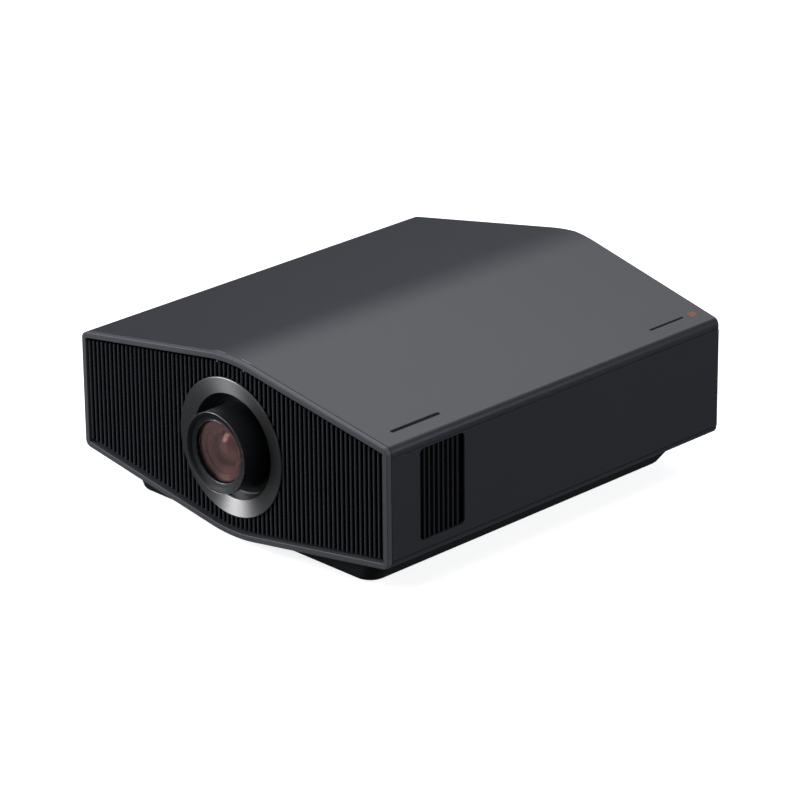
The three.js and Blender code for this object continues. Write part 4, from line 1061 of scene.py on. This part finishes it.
def base_plinth():
    """A rounded black tray that widens upwards at its sides and back, and stops just under the belly."""
    bm = bmesh.new()
    rings = []
    levels = [(0, 2.2), (0.7, 0.7), (2.2, 0)] + [(h, 0) for h in (6, 12, 18, 24, 30, 36, 40)]
    for inset, back in ((0, False), (3, True)):
        steps = reversed(levels[2:]) if back else levels
        for height, round_in in steps:
            half, start, end = (PLINTH_HALF - inset - round_in, PLINTH_START + inset + round_in,
                                PLINTH_END - inset - round_in)
            outline = box_outline((-half, half), (start, end), 18 - inset - round_in, 10)
            z = max(height, inset)
            ring = []
            for x, y in outline:
                wide = x * (1 + z * FLARE_SIDE / half)
                deep = y + z * FLARE_REAR if y > (start + end) / 2 else y
                top = belly_height(min(abs(wide), HALF_WIDTH)) - 0.6
                ring.append((wide, FRONT_Y + deep, min(PLINTH_BOTTOM + z, max(top, PLINTH_BOTTOM + inset + 0.2))))
            rings.append(ring)
    skin(bm, rings)
    add_piece("base_tray", bm, BLACK, replaces=["base_plinth"])


base_plinth()


def rubber_foot(node, body, stud_top=None):
    """A ribbed rubber foot, on a threaded stud where it can be turned."""
    low, high = node_box(node)
    x, y = (low.x + high.x) / 2, (low.y + high.y) / 2 - FRONT_Y
    bm = bmesh.new()
    profile = rounded([(0.001, 0.6, 0), (8.6, 0.6, 0.2), (9.4, 0, 0.3), (13.2, 0, 0.9), (14, 4.4, 0.5),
                       (0.001, 4.5, 0)], 3)
    lathe(bm, profile, 48, "z", (x, y))
    if stud_top:
        rod(bm, "z", 4, (4, stud_top), (x, y), 20)
    add_piece(f"{node}_pad", bm, RUBBER, body, [node])


for side in ("left", "right"):
    rubber_foot(f"front_{side}_foot", f"{side}_foot", node_box(f"front_{side}_foot")[1].z)
    rubber_foot(f"rear_{side}_foot", "root")


# ---- Rear ----

REAR_SET_IN = 4
REAR_EDGE = WALL + GAP
INLET_X = 150
INLET_HALF = (16, 12)
BAY_X = (bay_low.x, bay_high.x)
BAY_Z = (bay_low.z, bay_high.z)
BAY_MIDDLE_Z = (bay_low.z + bay_high.z) / 2
WINDOW_X = (24, 196)
WINDOW_Z = (CENTRE_Z - 2, CENTRE_Z + 42)


def rear_face(x):
    return POINT_Y - REAR_SET_IN - REAR_SLOPE * abs(x)


def rear_panel():
    """A plate folded along the middle, with windows for the sockets, the mains inlet and the air intake."""
    bm = bmesh.new()
    outline = [Vector((x, CENTRE_Z + z)) for x, z in cabinet_outline(REAR_EDGE)]
    inlet = centred_box((INLET_X, BAY_MIDDLE_Z), 2 * (INLET_HALF[0] + GAP), 2 * (INLET_HALF[1] + GAP), 1.2, 4)
    plate(bm, [outline, box_outline(BAY_X, BAY_Z, 2.5), inlet, box_outline(WINDOW_X, WINDOW_Z, 3)], WALL,
          lambda u, v, w: (u, POINT_Y - REAR_SET_IN - WALL + w, v))
    tidy(bm)
    everything = bm.verts[:] + bm.edges[:] + bm.faces[:]
    bmesh.ops.bisect_plane(bm, geom=everything, dist=WELD, plane_co=(0, 0, 0), plane_no=(1, 0, 0))
    for vert in bm.verts:
        vert.co.y -= REAR_SLOPE * abs(vert.co.x)
    add_piece("rear_panel_plate", bm, SHELL, replaces=["rear_panel"], edge=0.4)


rear_panel()


LOUVRE_PITCH = 8


def rear_louvres():
    """Upright louvres in the intake window; the plate's slope is followed by an even step."""
    count = int((WINDOW_X[1] - WINDOW_X[0]) / LOUVRE_PITCH) + 1
    start = WINDOW_X[0] + 2.4
    first = (start, FRONT_Y + rear_face(start) - 1.6, (WINDOW_Z[0] + WINDOW_Z[1]) / 2)
    bars = row_mesh("rear_louvres", upright_bar(2.6, 3, WINDOW_Z[1] - WINDOW_Z[0] + 1, 1.1), count, first,
                    (LOUVRE_PITCH, -REAR_SLOPE * LOUVRE_PITCH, 0), SHELL)
    add_mesh("rear_louvres", bars, SHELL)


rear_louvres()


def screw_blank():
    """A pan-head screw with a cross recess, its head towards +y, centred on the origin."""
    bm = bmesh.new()
    profile = rounded([(0.001, 0, 0), (3.1, 0, 0), (3.1, 1.1, 0.7), (0.001, 1.6, 0)], 3)
    skin(bm, [[(r * u, y, r * v) for r, y in profile] for u, v in round_points(1, 24)], closed_along=True)
    for half in ((1.5, 0.32), (0.32, 1.5)):
        outline = centred_box((0, 0), 2 * half[0], 2 * half[1], 0.1, 1)
        skin(bm, [[(u, y, v) for u, v in outline] for y in (1.3, 1.62)])
    return bm


SCREW_START = 52
SCREW_STEP = 76


def rear_screws():
    """Three screws on each half of the rear panel, above and below its sockets."""
    for row, z in (("upper", CENTRE_Z + 52), ("lower", CENTRE_Z - 56)):
        for label, side in (("left", -1), ("right", 1)):
            name = f"rear_screws_{row}_{label}"
            first = (SCREW_START * side, FRONT_Y + rear_face(SCREW_START) - 0.1, z)
            step = (SCREW_STEP * side, -REAR_SLOPE * SCREW_STEP, 0)
            add_mesh(name, row_mesh(name, screw_blank(), 3, first, step, STEEL), STEEL)


rear_screws()


def bay_tray():
    """The deep tray that holds the sockets, with a rounded mouth."""
    floor_y = bay_low.y - FRONT_Y
    bm = bmesh.new()
    rings = []
    mouth = [(0, floor_y, 0), (0, None, 0), (1.9, None, 0.4), (2.1, floor_y + 2, 0)]
    for inset, depth, drop in mouth:
        ring = []
        for x, z in box_outline((BAY_X[0] + inset, BAY_X[1] - inset), (BAY_Z[0] + inset, BAY_Z[1] - inset), 2.2, 4):
            y = rear_face(x) - drop if depth is None else depth
            ring.append((x, FRONT_Y + y, z))
        rings.append(ring)
    skin(bm, rings)
    add_piece("terminal_tray", bm, BLACK, replaces=["terminal_bay"])
    return floor_y + 2


def socket_shell(name, x, width, height, floor_y, replaces=(), metal=STEEL):
    """A connector: a folded metal mouth round a black tongue."""
    z = BAY_MIDDLE_Z
    bm = bmesh.new()
    stack(bm, [
        (centred_box((x, z), width - 2 * inset, height - 2 * inset, max(0.9 - inset, 0.15), 3), floor_y + y)
        for inset, y in ((0, -6), (0, 1.5), (0.7, 1.5), (0.8, -5))])
    add_piece(name, bm, metal, replaces=replaces)
    bm = bmesh.new()
    box(bm, (x - width * 0.36, x + width * 0.36), (floor_y - 5.2, floor_y + 0.4),
        (z - height * 0.12, z + height * 0.1))
    add_piece(f"{name}_tongue", bm, BLACK, edge=0.15)


def round_socket(name, x, radius, floor_y):
    """A small round jack with a turned collar."""
    inner = radius * 0.5
    profile = rounded([(inner, floor_y - 5, 0), (inner, floor_y + 1.6, 0.3), (radius, floor_y + 1.6, 0.4),
                       (radius, floor_y - 5, 0)], 3)
    turned(name, profile, BRASS, segments=40, at=(x, BAY_MIDDLE_Z))


def terminal_bay():
    floor_y = bay_tray()
    for node in ("video_port_1", "video_port_2"):
        low, high = node_box(node)
        socket_shell(f"{node}_mouth", (low.x + high.x) / 2, high.x - low.x, high.z - low.z, floor_y, [node])
    socket_shell("network_jack", -76, 15.5, 13, floor_y)
    socket_shell("service_port", -50, 13, 5.6, floor_y)
    round_socket("trigger_jack_1", -32, 3.6, floor_y)
    round_socket("trigger_jack_2", -21, 3.6, floor_y)


terminal_bay()


def power_inlet():
    """The mains socket: a bevelled mouth, a deep cup and three flat pins."""
    face = node_box("power_inlet")[1].y - FRONT_Y
    w, h = INLET_HALF
    bm = bmesh.new()
    levels = []
    for inset, y in ((0, face - 26), (0, face), (3.2, face), (4, face - 0.8), (4, face - 16)):
        u = (INLET_X - w + inset, INLET_X + w - inset)
        v = (BAY_MIDDLE_Z - h + inset * 0.75, BAY_MIDDLE_Z + h - inset * 0.75)
        cut = 0.6 if inset == 0 else 3.4
        corners = [(u[1], v[0], 0.5), (u[1], v[1] - cut, 0.5), (u[1] - cut, v[1], 0.5), (u[0] + cut, v[1], 0.5),
                   (u[0], v[1] - cut, 0.5), (u[0], v[0], 0.5)]
        levels.append((rounded(corners, 3), y))
    stack(bm, levels)
    add_piece("mains_inlet", bm, BLACK, replaces=["power_inlet"], edge=0.2)
    bm = bmesh.new()
    for x, lift in ((-7, 0), (0, 2.5), (7, 0)):
        box(bm, (INLET_X + x - 1, INLET_X + x + 1), (face - 16.5, face - 3.5),
            (BAY_MIDDLE_Z - 3 + lift, BAY_MIDDLE_Z + 2 + lift))
    add_piece("mains_pins", bm, BRASS, edge=0.3)


power_inlet()


# ---- Stage: floor, camera and light ----

def add_floor():
    """Pale paper that takes the shadows, and throws no light of its own on the body."""
    bm = bmesh.new()
    bmesh.ops.create_grid(bm, x_segments=1, y_segments=1, size=9)
    mesh = bpy.data.meshes.new("studio_floor")
    bm.to_mesh(mesh)
    bm.free()
    floor = bpy.data.objects.new("studio_floor", mesh)
    mesh.materials.append(start_material("pale_floor_paper", "#F6F6F6", 0.9, Specular_IOR_Level=0.0,
                                         Emission_Color=linear("#FFFFFF"), Emission_Strength=0.8)[0])
    bpy.context.scene.collection.objects.link(floor)
    floor.visible_glossy = False
    floor.visible_diffuse = False


ROOM_LIGHT = 0.16
CAMERA_AZIMUTH = 45.51
CAMERA_ELEVATION = 22.52
CAMERA_ROLL = -0.536
CAMERA_DISTANCE = 4450.3
CAMERA_LENS = 188.6
CAMERA_TARGET = Vector((9, 236 + FRONT_Y, CENTRE_Z - 14.8))


def add_camera():
    """A long lens above the right front corner, rolled a little and turned to the middle of the body."""
    azimuth, elevation = math.radians(CAMERA_AZIMUTH), math.radians(CAMERA_ELEVATION)
    back = Vector((math.sin(azimuth) * math.cos(elevation), -math.cos(azimuth) * math.cos(elevation),
                   math.sin(elevation)))
    roll = Matrix.Rotation(math.radians(CAMERA_ROLL), 3, back)
    right = roll @ (-back).cross(Vector((0, 0, 1))).normalized()
    up = back.cross(right)
    data = bpy.data.cameras.new("camera")
    data.lens = CAMERA_LENS
    data.sensor_width = 36
    data.clip_end = 50
    camera = bpy.data.objects.new("camera", data)
    bpy.context.scene.collection.objects.link(camera)
    matrix = Matrix((right, up, back)).transposed().to_4x4()
    matrix.translation = (CAMERA_TARGET + back * CAMERA_DISTANCE) * MM
    camera.matrix_world = matrix
    bpy.context.scene.camera = camera


LAMP_COLOUR = "#F7F9FF"
AIM = Vector((0, 0, 0.1))


def add_softbox(name, power, size, place):
    """A soft area light, in watts and metres, turned to the middle of the body."""
    data = bpy.data.lights.new(name, "AREA")
    data.shape = "RECTANGLE"
    data.size, data.size_y = size
    data.energy = power
    data.color = linear(LAMP_COLOUR)[:3]
    light = bpy.data.objects.new(name, data)
    light.location = place
    light.rotation_euler = (AIM - Vector(place)).to_track_quat("-Z", "Y").to_euler()
    bpy.context.scene.collection.objects.link(light)


def add_sky():
    """An even, dim studio: the room adds a little light from everywhere, before a white backdrop."""
    world = bpy.data.worlds.new("studio")
    world.use_nodes = True
    tree = world.node_tree
    seen = add_node(tree, "ShaderNodeLightPath").outputs["Is Camera Ray"]
    backdrop = add_node(tree, "ShaderNodeBackground", {"Color": linear("#FFFFFF"), "Strength": 1.0})
    room = tree.nodes["Background"]
    room.inputs["Color"].default_value = linear("#DDE3EA")
    room.inputs["Strength"].default_value = ROOM_LIGHT
    mix = add_node(tree, "ShaderNodeMixShader", {0: seen, 1: room.outputs[0], 2: backdrop.outputs[0]})
    tree.links.new(mix.outputs[0], tree.nodes["World Output"].inputs[0])
    bpy.context.scene.world = world


add_floor()
add_camera()
add_sky()
add_softbox("overhead", 36, (3.0, 3.0), (0.3, 0.0, 3.0))
add_softbox("rear_left", 31, (2.4, 1.6), (-1.35, 2.0, 2.5))
add_softbox("front_left", 60, (0.9, 1.5), (-1.9, -1.9, 0.85))
add_softbox("right_fill", 32, (2.0, 1.4), (2.8, 0.7, 1.0))
bpy.context.scene.view_settings.view_transform = "Standard"
